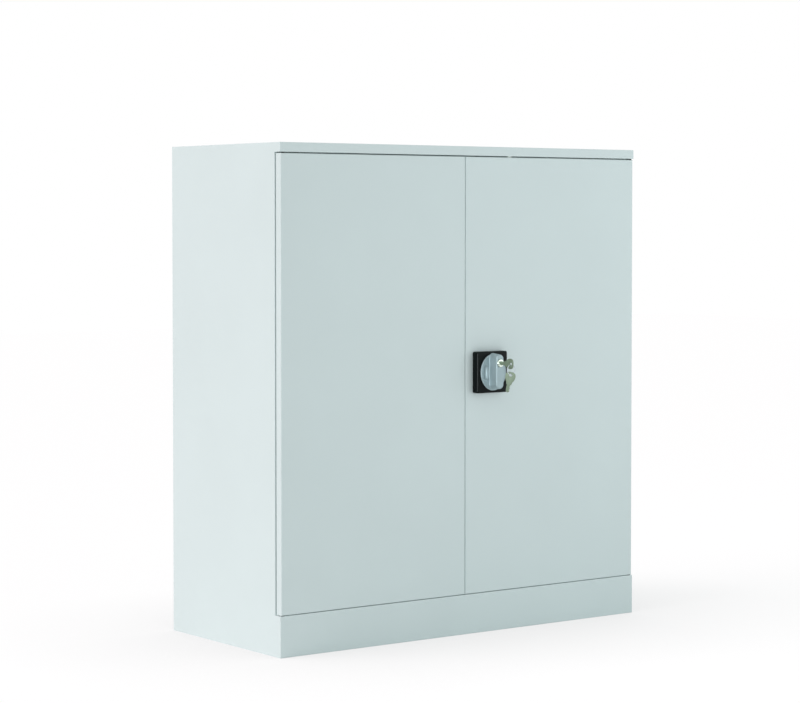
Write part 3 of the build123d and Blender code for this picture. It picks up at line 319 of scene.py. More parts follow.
def lacquered_casting(colour):
    """Zinc die casting under silver lacquer: fine aluminium flakes, a soft grey that is even all round."""
    material, tree = blank_material("Silver_Lacquered_Zinc_Casting")
    place = add(tree, "ShaderNodeTexCoord").outputs["Object"]
    # Flow marks of the casting, about 12 mm across, and the flakes' grain of 0.1 mm drawn at 0.8 mm.
    flow = add(tree, "ShaderNodeTexNoise", {"Vector": place, "Scale": 1 / (12 * MM), "Detail": 3.0})
    grain = add(tree, "ShaderNodeTexNoise", {"Vector": place, "Scale": 1 / (0.8 * MM), "Detail": 2.0})
    tint = add(tree, "ShaderNodeValToRGB", {"Fac": flow.outputs[0]})
    tint.color_ramp.elements[0].color = tuple(0.9 * c for c in colour) + (1.0,)
    tint.color_ramp.elements[1].color = tuple(min(1.0, 1.08 * c) for c in colour) + (1.0,)
    sheen = add(tree, "ShaderNodeMapRange", {"Value": flow.outputs[0], "To Min": 0.50, "To Max": 0.60})
    waves = add(tree, "ShaderNodeBump", {"Height": flow.outputs[0], "Strength": 0.12, "Distance": 0.3 * MM})
    skin = add(tree, "ShaderNodeBump", {"Height": grain.outputs[0], "Strength": 0.12, "Distance": 0.05 * MM,
                                        "Normal": waves.outputs["Normal"]})
    surface = add(tree, "ShaderNodeBsdfPrincipled", {"Base Color": tint.outputs["Color"], "Metallic": 0.4,
                                                     "Roughness": sheen.outputs["Result"],
                                                     "Normal": skin.outputs["Normal"]})
    add(tree, "ShaderNodeOutputMaterial", {"Surface": surface.outputs[0]})
    return material


def polished_nickel(colour):
    """Nickel plate over turned and buffed brass: nearly a mirror, with the buff's faint rubbing."""
    material, tree = blank_material("Polished_Nickel_Plate")
    place = add(tree, "ShaderNodeTexCoord").outputs["Object"]
    # The buff leaves soft streaks about 1.5 mm apart.
    streaks = add(tree, "ShaderNodeTexNoise", {"Vector": place, "Scale": 1 / (1.5 * MM), "Detail": 2.0})
    sheen = add(tree, "ShaderNodeMapRange", {"Value": streaks.outputs[0], "To Min": 0.10, "To Max": 0.22})
    surface = add(tree, "ShaderNodeBsdfPrincipled", {"Base Color": (*colour, 1.0), "Metallic": 1.0,
                                                     "Roughness": sheen.outputs["Result"]})
    add(tree, "ShaderNodeOutputMaterial", {"Surface": surface.outputs[0]})
    return material


def nickel_silver(colour):
    """Nickel silver keys, stamped and tumbled: a dull greenish metal, scratched by handling."""
    material, tree = blank_material("Tumbled_Nickel_Silver")
    place = add(tree, "ShaderNodeTexCoord").outputs["Object"]
    # Handling dulls the metal in spots about 3 mm across, and scratches lie some 0.5 mm apart.
    # A film of oxide and grease scatters most of the light, so it is drawn as three tenths bare metal.
    spots = add(tree, "ShaderNodeTexNoise", {"Vector": place, "Scale": 1 / (3 * MM), "Detail": 3.0})
    along = add(tree, "ShaderNodeMapping", {"Vector": place, "Scale": (1.0, 0.15, 1.0)})
    scratches = add(tree, "ShaderNodeTexNoise", {"Vector": along.outputs[0], "Scale": 1 / (0.5 * MM),
                                                 "Detail": 2.0})
    tint = add(tree, "ShaderNodeValToRGB", {"Fac": spots.outputs[0]})
    tint.color_ramp.elements[0].color = tuple(0.8 * c for c in colour) + (1.0,)
    tint.color_ramp.elements[1].color = tuple(min(1.0, 1.1 * c) for c in colour) + (1.0,)
    sheen = add(tree, "ShaderNodeMapRange", {"Value": spots.outputs[0], "To Min": 0.50, "To Max": 0.66})
    skin = add(tree, "ShaderNodeBump", {"Height": scratches.outputs[0], "Strength": 0.15,
                                        "Distance": 0.05 * MM})
    surface = add(tree, "ShaderNodeBsdfPrincipled", {"Base Color": tint.outputs["Color"], "Metallic": 0.3,
                                                     "Roughness": sheen.outputs["Result"],
                                                     "Normal": skin.outputs["Normal"]})
    add(tree, "ShaderNodeOutputMaterial", {"Surface": surface.outputs[0]})
    return material


def zinc_plate(colour):
    """Bright zinc electroplated on pressed steel: a bluish shine, clouded where the passivation lies thin."""
    material, tree = blank_material("Bright_Zinc_Plate")
    place = add(tree, "ShaderNodeTexCoord").outputs["Object"]
    # Clouds of the passivation, about 8 mm across, over the rolled steel's 0.4 mm grain.
    clouds = add(tree, "ShaderNodeTexNoise", {"Vector": place, "Scale": 1 / (8 * MM), "Detail": 4.0})
    grain = add(tree, "ShaderNodeTexNoise", {"Vector": place, "Scale": 1 / (0.4 * MM), "Detail": 1.0})
    tint = add(tree, "ShaderNodeValToRGB", {"Fac": clouds.outputs[0]})
    tint.color_ramp.elements[0].color = tuple(0.85 * c for c in colour) + (1.0,)
    tint.color_ramp.elements[1].color = tuple(min(1.0, 1.1 * c) for c in colour) + (1.0,)
    sheen = add(tree, "ShaderNodeMapRange", {"Value": clouds.outputs[0], "To Min": 0.24, "To Max": 0.42})
    skin = add(tree, "ShaderNodeBump", {"Height": grain.outputs[0], "Strength": 0.1, "Distance": 0.03 * MM})
    surface = add(tree, "ShaderNodeBsdfPrincipled", {"Base Color": tint.outputs["Color"], "Metallic": 1.0,
                                                     "Roughness": sheen.outputs["Result"],
                                                     "Normal": skin.outputs["Normal"]})
    add(tree, "ShaderNodeOutputMaterial", {"Surface": surface.outputs[0]})
    return material


def moulded_nylon(colour):
    """Natural nylon, moulded: milky and slightly waxy, with light scattered just under its skin."""
    material, tree = blank_material("Moulded_Nylon")
    place = add(tree, "ShaderNodeTexCoord").outputs["Object"]
    # The mould's polish leaves a faint unevenness of about 2 mm.
    skin = add(tree, "ShaderNodeTexNoise", {"Vector": place, "Scale": 1 / (2 * MM), "Detail": 2.0})
    sheen = add(tree, "ShaderNodeMapRange", {"Value": skin.outputs[0], "To Min": 0.38, "To Max": 0.50})
    surface = add(tree, "ShaderNodeBsdfPrincipled", {"Base Color": (*colour, 1.0), "IOR": 1.53,
                                                     "Roughness": sheen.outputs["Result"],
                                                     "Subsurface Weight": 0.1, "Subsurface Scale": 1 * MM})
    add(tree, "ShaderNodeOutputMaterial", {"Surface": surface.outputs[0]})
    return material


def nitrile_rubber(colour):
    """Moulded nitrile rubber: matt black with a bloom of paler dust."""
    material, tree = blank_material("Moulded_Nitrile_Rubber")
    place = add(tree, "ShaderNodeTexCoord").outputs["Object"]
    # The bloom gathers in patches about 4 mm across.
    bloom = add(tree, "ShaderNodeTexNoise", {"Vector": place, "Scale": 1 / (4 * MM), "Detail": 3.0})
    tint = add(tree, "ShaderNodeValToRGB", {"Fac": bloom.outputs[0]})
    tint.color_ramp.elements[0].color = (*colour, 1.0)
    tint.color_ramp.elements[1].color = tuple(2.5 * c for c in colour) + (1.0,)
    skin = add(tree, "ShaderNodeBump", {"Height": bloom.outputs[0], "Strength": 0.2, "Distance": 0.1 * MM})
    surface = add(tree, "ShaderNodeBsdfPrincipled", {"Base Color": tint.outputs["Color"], "Roughness": 0.8,
                                                     "IOR": 1.52, "Normal": skin.outputs["Normal"]})
    add(tree, "ShaderNodeOutputMaterial", {"Surface": surface.outputs[0]})
    return material


made_finishes = {}


def finish(maker, colour):
    """The material that a maker gives, made once for all the pieces that share it."""
    if maker not in made_finishes:
        made_finishes[maker] = maker(tuple(colour))
    return made_finishes[maker]


# Shapes


def paint(node, material):
    """Gives a CAD node's own mesh its finish."""
    materials = frame["nodes"][node].data.materials
    materials.clear()
    materials.append(material)


def place_piece(name, mesh, material, body, replaced=()):
    """Puts a finished mesh in the scene as a piece that rides on a body."""
    mesh.name = name
    if material:
        mesh.materials.clear()
        mesh.materials.append(material)
    mesh.shade_smooth()
    mesh.set_sharp_from_angle(angle=SHARP)
    piece = bpy.data.objects.new(name, mesh)
    bpy.context.scene.collection.objects.link(piece)
    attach(piece, body)
    if replaced:
        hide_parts(*replaced)
    return piece


def as_made(carrier):
    """A plain mesh of an object with its modifiers worked in. The object is then removed."""
    depsgraph = bpy.context.evaluated_depsgraph_get()
    mesh = bpy.data.meshes.new_from_object(carrier.evaluated_get(depsgraph), depsgraph=depsgraph)
    carrier.modifiers.clear()
    bpy.data.objects.remove(carrier)
    return mesh


def welded_copy(node):
    """An object with a CAD node's shape as one closed mesh of flat faces."""
    source = frame["nodes"][node].data
    mesh = bpy.data.meshes.new(node)
    mesh.from_pydata([v.co[:] for v in source.vertices], [], [p.vertices[:] for p in source.polygons])
    form = bmesh.new()
    form.from_mesh(mesh)
    bmesh.ops.remove_doubles(form, verts=form.verts, dist=MERGE)
    bmesh.ops.dissolve_limit(form, angle_limit=math.radians(0.4), verts=form.verts, edges=form.edges)
    form.to_mesh(mesh)
    form.free()
    return object_of(mesh)


def soften(carrier, edge, segments, corner):
    """Rounds an object's edges that are sharper than a corner in degrees."""
    bevel = carrier.modifiers.new("Edges", "BEVEL")
    bevel.width = edge
    bevel.segments = segments
    bevel.limit_method = "ANGLE"
    bevel.angle_limit = math.radians(corner)


def rounded(node, name, edge, material, segments=3, corner=28.0):
    """A piece that stands for a CAD node, with the same shape and its edges rounded."""
    carrier = welded_copy(node)
    soften(carrier, edge, segments, corner)
    return place_piece(name, as_made(carrier), material, frame["nodes"][node]["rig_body"], [node])


def arc(radius, height, edge):
    """The points of a turned profile that round an outer edge, going up."""
    return [(radius - edge + edge * math.cos(turn), height - edge + edge * math.sin(turn))
            for turn in QUARTER]


def object_of(mesh):
    """A mesh as an object in the scene."""
    item = bpy.data.objects.new(mesh.name, mesh)
    bpy.context.scene.collection.objects.link(item)
    return item


def turned(name, profile, sides):
    """An object turned about +Z from pairs of radius and height in metres, going up its outside.

    A profile that starts and ends on the axis makes a solid body, and any other is closed into a ring.
    """
    points, rings = [], []
    for radius, height in profile:
        turns = 1 if radius == 0 else sides
        rings.append([len(points) + index for index in range(turns)])
        for index in range(turns):
            angle = 2 * math.pi * index / sides
            points.append((radius * math.cos(angle), radius * math.sin(angle), height))
    if profile[0][0] > 0:
        rings.append(rings[0])
    faces = []
    for low, high in zip(rings, rings[1:]):
        for index in range(sides):
            corners = [low[index % len(low)], low[(index + 1) % len(low)],
                       high[(index + 1) % len(high)], high[index % len(high)]]
            faces.append(list(dict.fromkeys(corners)))
    mesh = bpy.data.meshes.new(name)
    mesh.from_pydata(points, [], faces)
    return object_of(mesh)


def block(name, low, high):
    """An object with the shape of a box between two corners."""
    mesh = bpy.data.meshes.new(name)
    form = bmesh.new()
    bmesh.ops.create_cube(form, size=1.0)
    for vertex in form.verts:
        vertex.co = [a + (b - a) * (c + 0.5) for a, b, c in zip(low, high, vertex.co)]
    form.to_mesh(mesh)
    form.free()
    return object_of(mesh)


def moved(item, place, turn=(0, 0, 0), scale=(1, 1, 1)):
    """Works a place, turn and scale into an object's mesh."""
    item.data.transform(Matrix.LocRotScale(Vector(place), Euler(turn), Vector(scale)))
    return item


def rounded_box(half_width, half_length, corner):
    """The outline of a rectangle with round corners, or of a bar with round ends."""
    outline = []
    for index in range(ROUND_SIDES):
        angle = 2 * math.pi * (index + 0.5) / ROUND_SIDES
        across = math.copysign(half_width - corner, math.cos(angle)) + corner * math.cos(angle)
        along = math.copysign(half_length - corner, math.sin(angle)) + corner * math.sin(angle)
        outline.append((across, along))
    return outline


def oval(half_width, half_length):
    """The outline of an oval."""
    angles = [2 * math.pi * index / DISC_SIDES for index in range(DISC_SIDES)]
    return [(half_width * math.cos(angle), half_length * math.sin(angle)) for angle in angles]


def lofted(name, outlines, levels):
    """A solid object through level outlines that have the same number of points, going up."""
    sides = len(outlines[0])
    points = [(x, y, level) for outline, level in zip(outlines, levels) for x, y in outline]
    faces = [tuple(reversed(range(sides))), tuple(range(len(points) - sides, len(points)))]
    for low in range(0, len(points) - sides, sides):
        for index in range(sides):
            beside = (index + 1) % sides
            faces.append((low + index, low + beside, low + sides + beside, low + sides + index))
    mesh = bpy.data.meshes.new(name)
    mesh.from_pydata(points, [], faces)
    return object_of(mesh)


def post(name, radius, bottom, top):
    """A round post along Z, to cut a hole with."""
    return turned(name, [(0, bottom), (radius, bottom), (radius, top), (0, top)], ROUND_SIDES)


def shaped(carrier, operation, *tools):
    """Joins other objects to one, or cuts them from it. The others are then removed."""
    for tool in tools:
        cut = carrier.modifiers.new("Shape", "BOOLEAN")
        cut.operation = operation
        cut.object = tool
        cut.solver = "EXACT"
        mesh = as_made(carrier)
        bpy.data.objects.remove(tool)
        carrier = object_of(mesh)
    return carrier


def new_tree(name, inputs):
    """A Geometry Nodes tree with named inputs, and its input and output sockets' owners."""
    tree = bpy.data.node_groups.new(name, "GeometryNodeTree")
    for label, kind in inputs:
        tree.interface.new_socket(name=label, in_out="INPUT", socket_type=kind)
    tree.interface.new_socket(name="Mesh", in_out="OUTPUT", socket_type="NodeSocketGeometry")
    return tree, add(tree, "NodeGroupInput").outputs


def end_tree(tree, geometry, material):
    """Realizes what a tree made, gives it its finish and sends it out."""
    whole = add(tree, "GeometryNodeRealizeInstances", {"Geometry": geometry})
    finished = add(tree, "GeometryNodeSetMaterial", {"Geometry": whole.outputs[0], "Material": material})
    add(tree, "NodeGroupOutput", {"Mesh": finished.outputs[0]})
    return tree


def grown(name, tree, values, body, replaced=()):
    """The piece that a Geometry Nodes tree makes from named values."""
    carrier = object_of(bpy.data.meshes.new(name))
    modifier = carrier.modifiers.new("Grown", "NODES")
    modifier.node_group = tree
    for socket in tree.interface.items_tree:
        if socket.in_out == "INPUT":
            modifier[socket.identifier] = values[socket.name]
    return place_piece(name, as_made(carrier), None, body, replaced)


def rows_tree():
    """Repeats an item along a row, and the row again beside itself."""
    made = bpy.data.node_groups.get("Rows_Of_Items")
    if made:
        return made
    tree, given = new_tree("Rows_Of_Items", (
        ("Item", "NodeSocketObject"),
        ("Turn", "NodeSocketVector"),
        ("Start", "NodeSocketVector"),
        ("Step", "NodeSocketVector"),
        ("Count", "NodeSocketInt"),
        ("Row Step", "NodeSocketVector"),
        ("Rows", "NodeSocketInt"),
        ("Finish", "NodeSocketMaterial"),
    ))
    starts = add(tree, "GeometryNodeMeshLine", {"Count": given["Rows"], "Start Location": given["Start"],
                                                "Offset": given["Row Step"]})
    row = add(tree, "GeometryNodeMeshLine", {"Count": given["Count"], "Offset": given["Step"]})
    rows = add(tree, "GeometryNodeInstanceOnPoints", {"Points": starts.outputs[0],
                                                      "Instance": row.outputs[0]})
    places = add(tree, "GeometryNodeRealizeInstances", {"Geometry": rows.outputs[0]})
    item = add(tree, "GeometryNodeObjectInfo", {"Object": given["Item"]})
    turn = add(tree, "FunctionNodeEulerToRotation", {"Euler": given["Turn"]})
    items = add(tree, "GeometryNodeInstanceOnPoints", {"Points": places.outputs[0],
                                                       "Rotation": turn.outputs[0],
                                                       "Instance": item.outputs["Geometry"]})
    return end_tree(tree, items.outputs[0], given["Finish"])


def in_rows(name, item, material, body, start, step=(0, 0, 0), count=1, row_step=(0, 0, 0), rows=1,
            turn=(0, 0, 0), replaced=()):
    """A piece of like items in rows. The pattern item is left for the caller to remove."""
    values = {"Item": item, "Turn": turn, "Start": start, "Step": step, "Count": count, "Row Step": row_step,
              "Rows": rows, "Finish": material}
    return grown(name, rows_tree(), values, body, replaced)


def ring_tree():
    """A split ring: flat wire wound on itself, about the Y axis."""
    tree, given = new_tree("Split_Ring", (
        ("Centre", "NodeSocketVector"),
        ("Radius", "NodeSocketFloat"),
        ("Wire", "NodeSocketFloat"),
        ("Leaf", "NodeSocketFloat"),
        ("Turns", "NodeSocketFloat"),
        ("Finish", "NodeSocketMaterial"),
    ))
    pitch = add(tree, "ShaderNodeMath", {0: given["Leaf"], 1: LEAF_PITCH}, operation="MULTIPLY")
    rise = add(tree, "ShaderNodeMath", {0: pitch.outputs[0], 1: given["Turns"]}, operation="MULTIPLY")
    drop = add(tree, "ShaderNodeMath", {0: rise.outputs[0], 1: -0.5}, operation="MULTIPLY")
    line = add(tree, "GeometryNodeCurveSpiral", {"Resolution": ROUND_SIDES, "Rotations": given["Turns"],
                                                 "Start Radius": given["Radius"],
                                                 "End Radius": given["Radius"], "Height": rise.outputs[0]})
    section = add(tree, "GeometryNodeCurvePrimitiveQuadrilateral", {"Width": given["Wire"],
                                                                    "Height": given["Leaf"]})
    soft = add(tree, "GeometryNodeFilletCurve", {"Curve": section.outputs[0], "Radius": LEAF_CORNER,
                                                 "Count": 2}, mode="POLY")
    wire = add(tree, "GeometryNodeCurveToMesh", {"Curve": line.outputs[0], "Profile Curve": soft.outputs[0],
                                                 "Fill Caps": True})
    middle = add(tree, "ShaderNodeCombineXYZ", {"Z": drop.outputs[0]})
    centred = add(tree, "GeometryNodeTransform", {"Geometry": wire.outputs[0],
                                                  "Translation": middle.outputs[0]})
    placed = add(tree, "GeometryNodeTransform", {"Geometry": centred.outputs[0],
                                                 "Translation": given["Centre"], "Rotation": TOWARDS_FRONT})
    return end_tree(tree, placed.outputs[0], given["Finish"])


# Pieces, each as one operator


class PaintSheetSteel(bpy.types.Operator):
    """Paint the folded sheets, the shelf, the uprights and the rod guides"""

    bl_idname = "cupboard.paint_sheet_steel"
    bl_label = "Sheet steel"

    def execute(self, context):
        coat = finish(powder_coat, context.scene.cupboard_colours.paint)
        for node in PAINTED:
            paint(node, coat)
        return {"FINISHED"}


class MarkSpotWelds(bpy.types.Operator):
    """Set the marks of the spot welds on the doors' inner skins"""

    bl_idname = "cupboard.mark_spot_welds"
    bl_label = "Spot welds"

    def execute(self, context):
        sizes = context.scene.cupboard_sizes
        coat = finish(powder_coat, context.scene.cupboard_colours.paint)
        radius, height = sizes.weld_radius, sizes.weld_height
        # The electrode leaves a shallow dish inside a low rim.
        mark = turned("weld_mark", [(out * radius, up * height) for out, up in WELD_LINE], 24)
        for body in ("left_door", "right_door"):
            low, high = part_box(f"{body}_inner_skin")
            left, right = low.x + WELD_FROM_SIDE, high.x - WELD_FROM_SIDE
            tall = high.z - low.z - 2 * WELD_FROM_END
            count = int(tall / sizes.weld_pitch) + 1
            start = (left, high.y, low.z + WELD_FROM_END)
            in_rows(f"{body}_welds", mark, coat, body, start,
                    step=(0, 0, tall / (count - 1)), count=count, row_step=(right - left, 0, 0), rows=2,
                    turn=TOWARDS_BACK)
        bpy.data.objects.remove(mark)
        return {"FINISHED"}


class FitLockPlate(bpy.types.Operator):
    """Mould the black plate that the knob turns in"""

    bl_idname = "cupboard.fit_lock_plate"
    bl_label = "Lock plate"

    def execute(self, context):
        sizes = context.scene.cupboard_sizes
        black = finish(spark_eroded_abs, context.scene.cupboard_colours.plate)
        low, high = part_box("escutcheon")
        middle = (low + high) / 2
        rise, edge = sizes.plate_rise, sizes.plate_edge
        half_width, half_height = (high.x - low.x) / 2, (high.z - low.z) / 2
        insets = [0, *(edge * share for share, _ in PLATE_BEVEL)]
        outlines = [rounded_box(half_width - inset, half_height - inset, PLATE_CORNER - inset)
                    for inset in insets]
        levels = [0, *(rise - edge * share for _, share in PLATE_BEVEL)]
        plate = lofted("lock_plate", outlines, levels)
        knob_floor = high.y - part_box("knob")[1].y - RECESS_STEP
        cam_floor = high.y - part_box("lock_cam")[1].y - RECESS_STEP
        plate = shaped(plate, "DIFFERENCE",
                       post("recess", HUB_RADIUS + RUNNING, knob_floor, rise + THROUGH),
                       post("pocket", CAM_POCKET, cam_floor, rise),
                       post("hole", SPINDLE_HOLE, -THROUGH, rise))
        carrier = moved(plate, (middle.x, high.y, middle.z), TOWARDS_FRONT)
        place_piece("lock_plate", as_made(carrier), black, "right_door", ["escutcheon"])
        return {"FINISHED"}


def barrel_radius():
    """Radius of the cylinder's barrel."""
    low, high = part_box("lock_barrel")
    return (high.x - low.x) / 2


def knob_disc(half_width, half_height, seat, rise):
    """The knob's oval disc with its dish, on the round hub that turns in the plate."""
    outlines = [oval(HUB_RADIUS, HUB_RADIUS), oval(HUB_RADIUS, HUB_RADIUS), oval(half_width, half_height)]
    levels = [0, seat, seat]
    for turn in QUARTER:
        inset = DISC_EDGE * (1 - math.cos(turn))
        outlines.append(oval(half_width - inset, half_height - inset))
        levels.append(rise - DISC_EDGE * (1 - math.sin(turn)))
    outlines.append(oval(half_width - DISH_EDGE, half_height - DISH_EDGE))
    levels.append(rise - DISH_DEPTH)
    return lofted("turning_knob", outlines, levels)


def knob_grip(width, rise, top):
    """The knob's grip: a bar with round ends that narrows from the disc to its soft front edge."""
    levels = (rise / 2, rise, rise + (top - rise) * GRIP_WAIST, top - GRIP_EDGE, top - GRIP_EDGE / 3, top)
    half_length = (GRIP_TOP - GRIP_BOTTOM) / 2
    outlines = []
    for spread in GRIP_SPREADS:
        half = width / 2 + spread * MM
        outlines.append(rounded_box(half, half_length + GRIP_END_SPREAD * spread * MM, half))
    return moved(lofted("grip", outlines, levels), (0, (GRIP_TOP + GRIP_BOTTOM) / 2, 0))


def finger_hollow(side, level, depth):
    """A scoop that cuts one of the two finger hollows, at a level of the disc."""
    half = [math.radians(15 * step) for step in range(13)]
    ball = turned("hollow", [(math.sin(turn), -math.cos(turn)) for turn in half], 48)
    return moved(ball, (side * HOLLOW_OFFSET, 0, level), scale=(HOLLOW_WIDTH / 2, HOLLOW_LENGTH / 2, depth))


class CastKnob(bpy.types.Operator):
    """Cast the turning knob with its grip and finger hollows"""

    bl_idname = "cupboard.cast_knob"
    bl_label = "Knob"

    def execute(self, context):
        sizes = context.scene.cupboard_sizes
        silver = finish(lacquered_casting, context.scene.cupboard_colours.knob)
        low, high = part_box("knob")
        middle = (low + high) / 2
        plate_front = high.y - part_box("escutcheon")[1].y + sizes.plate_rise
        seat, rise = plate_front + RUNNING, plate_front + sizes.knob_rise
        top = high.y - low.y
        disc = knob_disc(sizes.knob_width / 2, sizes.knob_height / 2, seat, rise)
        knob = shaped(disc, "UNION", knob_grip(sizes.grip_width, rise, top))
        hollows = [finger_hollow(side, rise - DISH_DEPTH, sizes.hollow_depth) for side in (-1, 1)]
        bore = post("bore", barrel_radius(), -THROUGH, top + THROUGH)
        barrel_low, barrel_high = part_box("lock_barrel")
        moved(bore, (0, (barrel_low.z + barrel_high.z) / 2 - middle.z, 0))
        knob = shaped(knob, "DIFFERENCE", *hollows, bore)
        skin = knob.modifiers.new("Skin", "REMESH")
        skin.mode = "VOXEL"
        skin.voxel_size = CASTING_GRAIN
        fillets = knob.modifiers.new("Fillets", "SMOOTH")
        fillets.factor = 0.5
        fillets.iterations = 10
        mesh = as_made(knob)
        mesh.transform(Matrix.LocRotScale(Vector((middle.x, high.y, middle.z)), Euler(TOWARDS_FRONT), None))
        place_piece("turning_knob", mesh, silver, "lock_handle", ["knob"])
        return {"FINISHED"}


class FitCylinder(bpy.types.Operator):
    """Turn the lock's barrel, plug and cam"""

    bl_idname = "cupboard.fit_cylinder"
    bl_label = "Lock cylinder"

    def execute(self, context):
        colours = context.scene.cupboard_colours
        sizes = context.scene.cupboard_sizes
        nickel = finish(polished_nickel, colours.cylinder)
        low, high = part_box("lock_barrel")
        plug_low, plug_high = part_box("lock_plug")
        bore = (plug_high.x - plug_low.x) / 2 + RUNNING
        deep, radius = high.y - low.y, barrel_radius()
        front_edge = arc(radius, deep, sizes.barrel_edge)
        barrel = turned("cylinder_barrel", [(bore, 0), (radius, 0), *front_edge, (bore, deep)], 64)
        moved(barrel, ((low.x + high.x) / 2, high.y, (low.z + high.z) / 2), TOWARDS_FRONT)
        place_piece("cylinder_barrel", as_made(barrel), nickel, "lock_handle",
                    ["lock_barrel"])
        rounded("lock_plug", "cylinder_plug", sizes.cylinder_edge, nickel)
        paint("lock_cam", finish(zinc_plate, colours.zinc))
        return {"FINISHED"}


def smooth_line(points, steps):
    """A line with soft bends through points: a Catmull-Rom curve, with its ends as they are."""
    line = []
    ends = [points[0], *points, points[-1]]
    for stretch in zip(ends, ends[1:], ends[2:], ends[3:]):
        for step in range(steps):
            t = step / steps
            line.append(tuple(
                0.5 * (2 * b + (c - a) * t + (2 * a - 5 * b + 4 * c - d) * t ** 2
                       + (3 * b - a - 3 * c + d) * t ** 3)
                for a, b, c, d in zip(*stretch)))
    return line + [points[-1]]


def key_outline(sizes):
    """A key's outline about the middle of its hole, and how far along +X its bow and its blade end."""
    half_bow, half_blade = sizes.bow_width / 2, KEY_BLADE / 2
    tip = sizes.key_length - KEY_HOLE_FROM_END
    upper = smooth_line([(x * MM - KEY_HOLE_FROM_END, share * half_bow) for x, share in BOW_LINE], BOW_STEPS)
    shoulder = upper[-1][0]
    cuts = []
    for index, depth in enumerate(KEY_CUTS):
        middle = tip - half_blade - (len(KEY_CUTS) - index - 0.5) * KEY_CUT_PITCH
        cuts += [(middle - depth * MM, -half_blade), (middle, depth * MM - half_blade),
                 (middle + depth * MM, -half_blade)]
    point = [(tip - half_blade, half_blade), (tip, half_blade / 3), (tip, -half_blade / 3),
             (tip - half_blade / 2, -half_blade)]
    lower = [(x, -y) for x, y in reversed(upper[1:])]
    outline = [*upper, (shoulder, half_blade), *point, *reversed(cuts), (shoulder, -half_blade), *lower]
    return outline, shoulder, tip


def stamped_key(name, sizes):
    """A key about the middle of its hole, along +X: a bow, a neck and a cut and grooved blade."""
    outline, shoulder, tip = key_outline(sizes)
    hole = [(KEY_HOLE * math.cos(angle), KEY_HOLE * math.sin(angle))
            for angle in (math.radians(-12 * step) for step in range(30))]
    curve = bpy.data.curves.new(name, "CURVE")
    curve.dimensions = "2D"
    curve.fill_mode = "BOTH"
    for line in (outline, hole):
        spline = curve.splines.new("POLY")
        spline.points.add(len(line) - 1)
        spline.points.foreach_set("co", [value for x, y in line for value in (x, y, 0.0, 1.0)])
        spline.use_cyclic_u = True
    curve.extrude = KEY_THICKNESS / 2 - sizes.key_edge
    curve.bevel_depth = sizes.key_edge
    curve.offset = -sizes.key_edge
    curve.bevel_resolution = 2
    flat = bpy.data.objects.new(name, curve)
    bpy.context.scene.collection.objects.link(flat)
    blank = object_of(as_made(flat))
    merge_doubles(blank.data)
    for side in (-1, 1):
        floor, above = side * (KEY_THICKNESS / 2 - KEY_GROOVE_DEPTH), side * KEY_THICKNESS
        groove = block("groove", (shoulder + THROUGH, -KEY_GROOVE / 2, min(floor, above)),
                       (tip + THROUGH, KEY_GROOVE / 2, max(floor, above)))
        blank = shaped(blank, "DIFFERENCE", groove)
    return as_made(blank)


def merge_doubles(mesh):
    """Joins the points of a mesh that lie on each other, and turns its faces outwards."""
    form = bmesh.new()
    form.from_mesh(mesh)
    bmesh.ops.remove_doubles(form, verts=form.verts, dist=MERGE)
    bmesh.ops.recalc_face_normals(form, faces=form.faces)
    form.to_mesh(mesh)
    form.free()


class HangKeys(bpy.types.Operator):
    """Stamp the two keys and wind the split ring that joins them"""

    bl_idname = "cupboard.hang_keys"
    bl_label = "Keys and ring"

    def execute(self, context):
        colours = context.scene.cupboard_colours
        sizes = context.scene.cupboard_sizes
        metal = finish(nickel_silver, colours.keys)
        low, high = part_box("key")
        hole = Vector(((low.x + high.x) / 2, low.y + KEY_HOLE_FROM_END, (low.z + high.z) / 2))
        into_door = Matrix(((0, 0, 1), (1, 0, 0), (0, 1, 0))).to_4x4()
        mesh = stamped_key("lock_key_blade", sizes)
        mesh.transform(Matrix.Translation(hole) @ into_door)
        place_piece("lock_key_blade", mesh, metal, "lock_key", ["key"])

        ring_low, ring_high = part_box("key_ring")
        mesh = stamped_key("spare_key_blade", sizes)
        hang = Vector((hole.x, hole.y + SPARE_BACK + SPARE_DROP * math.sin(SPARE_LEAN),
                       ring_low.z + RING_WIRE - SPARE_DROP * math.cos(SPARE_LEAN)))
        downwards = Matrix.Rotation(math.pi / 2, 4, "Y")
        turn = Matrix.Rotation(SPARE_LEAN, 4, "X") @ Matrix.Rotation(SPARE_TURN, 4, "Z")
        mesh.transform(Matrix.Translation(hang) @ turn @ downwards)
        place_piece("spare_key_blade", mesh, metal, "hanging_key", ["spare_key"])

        radius = (ring_high.x - ring_low.x) / 2 - sizes.ring_wire / 2 - RING_MARGIN
        values = {"Centre": (ring_low + ring_high) / 2, "Radius": radius, "Wire": sizes.ring_wire,
                  "Leaf": sizes.ring_leaf, "Turns": sizes.ring_turns,
                  "Finish": finish(zinc_plate, colours.zinc)}
        grown("split_ring", ring_tree(), values, "hanging_key", ["key_ring"])
        return {"FINISHED"}


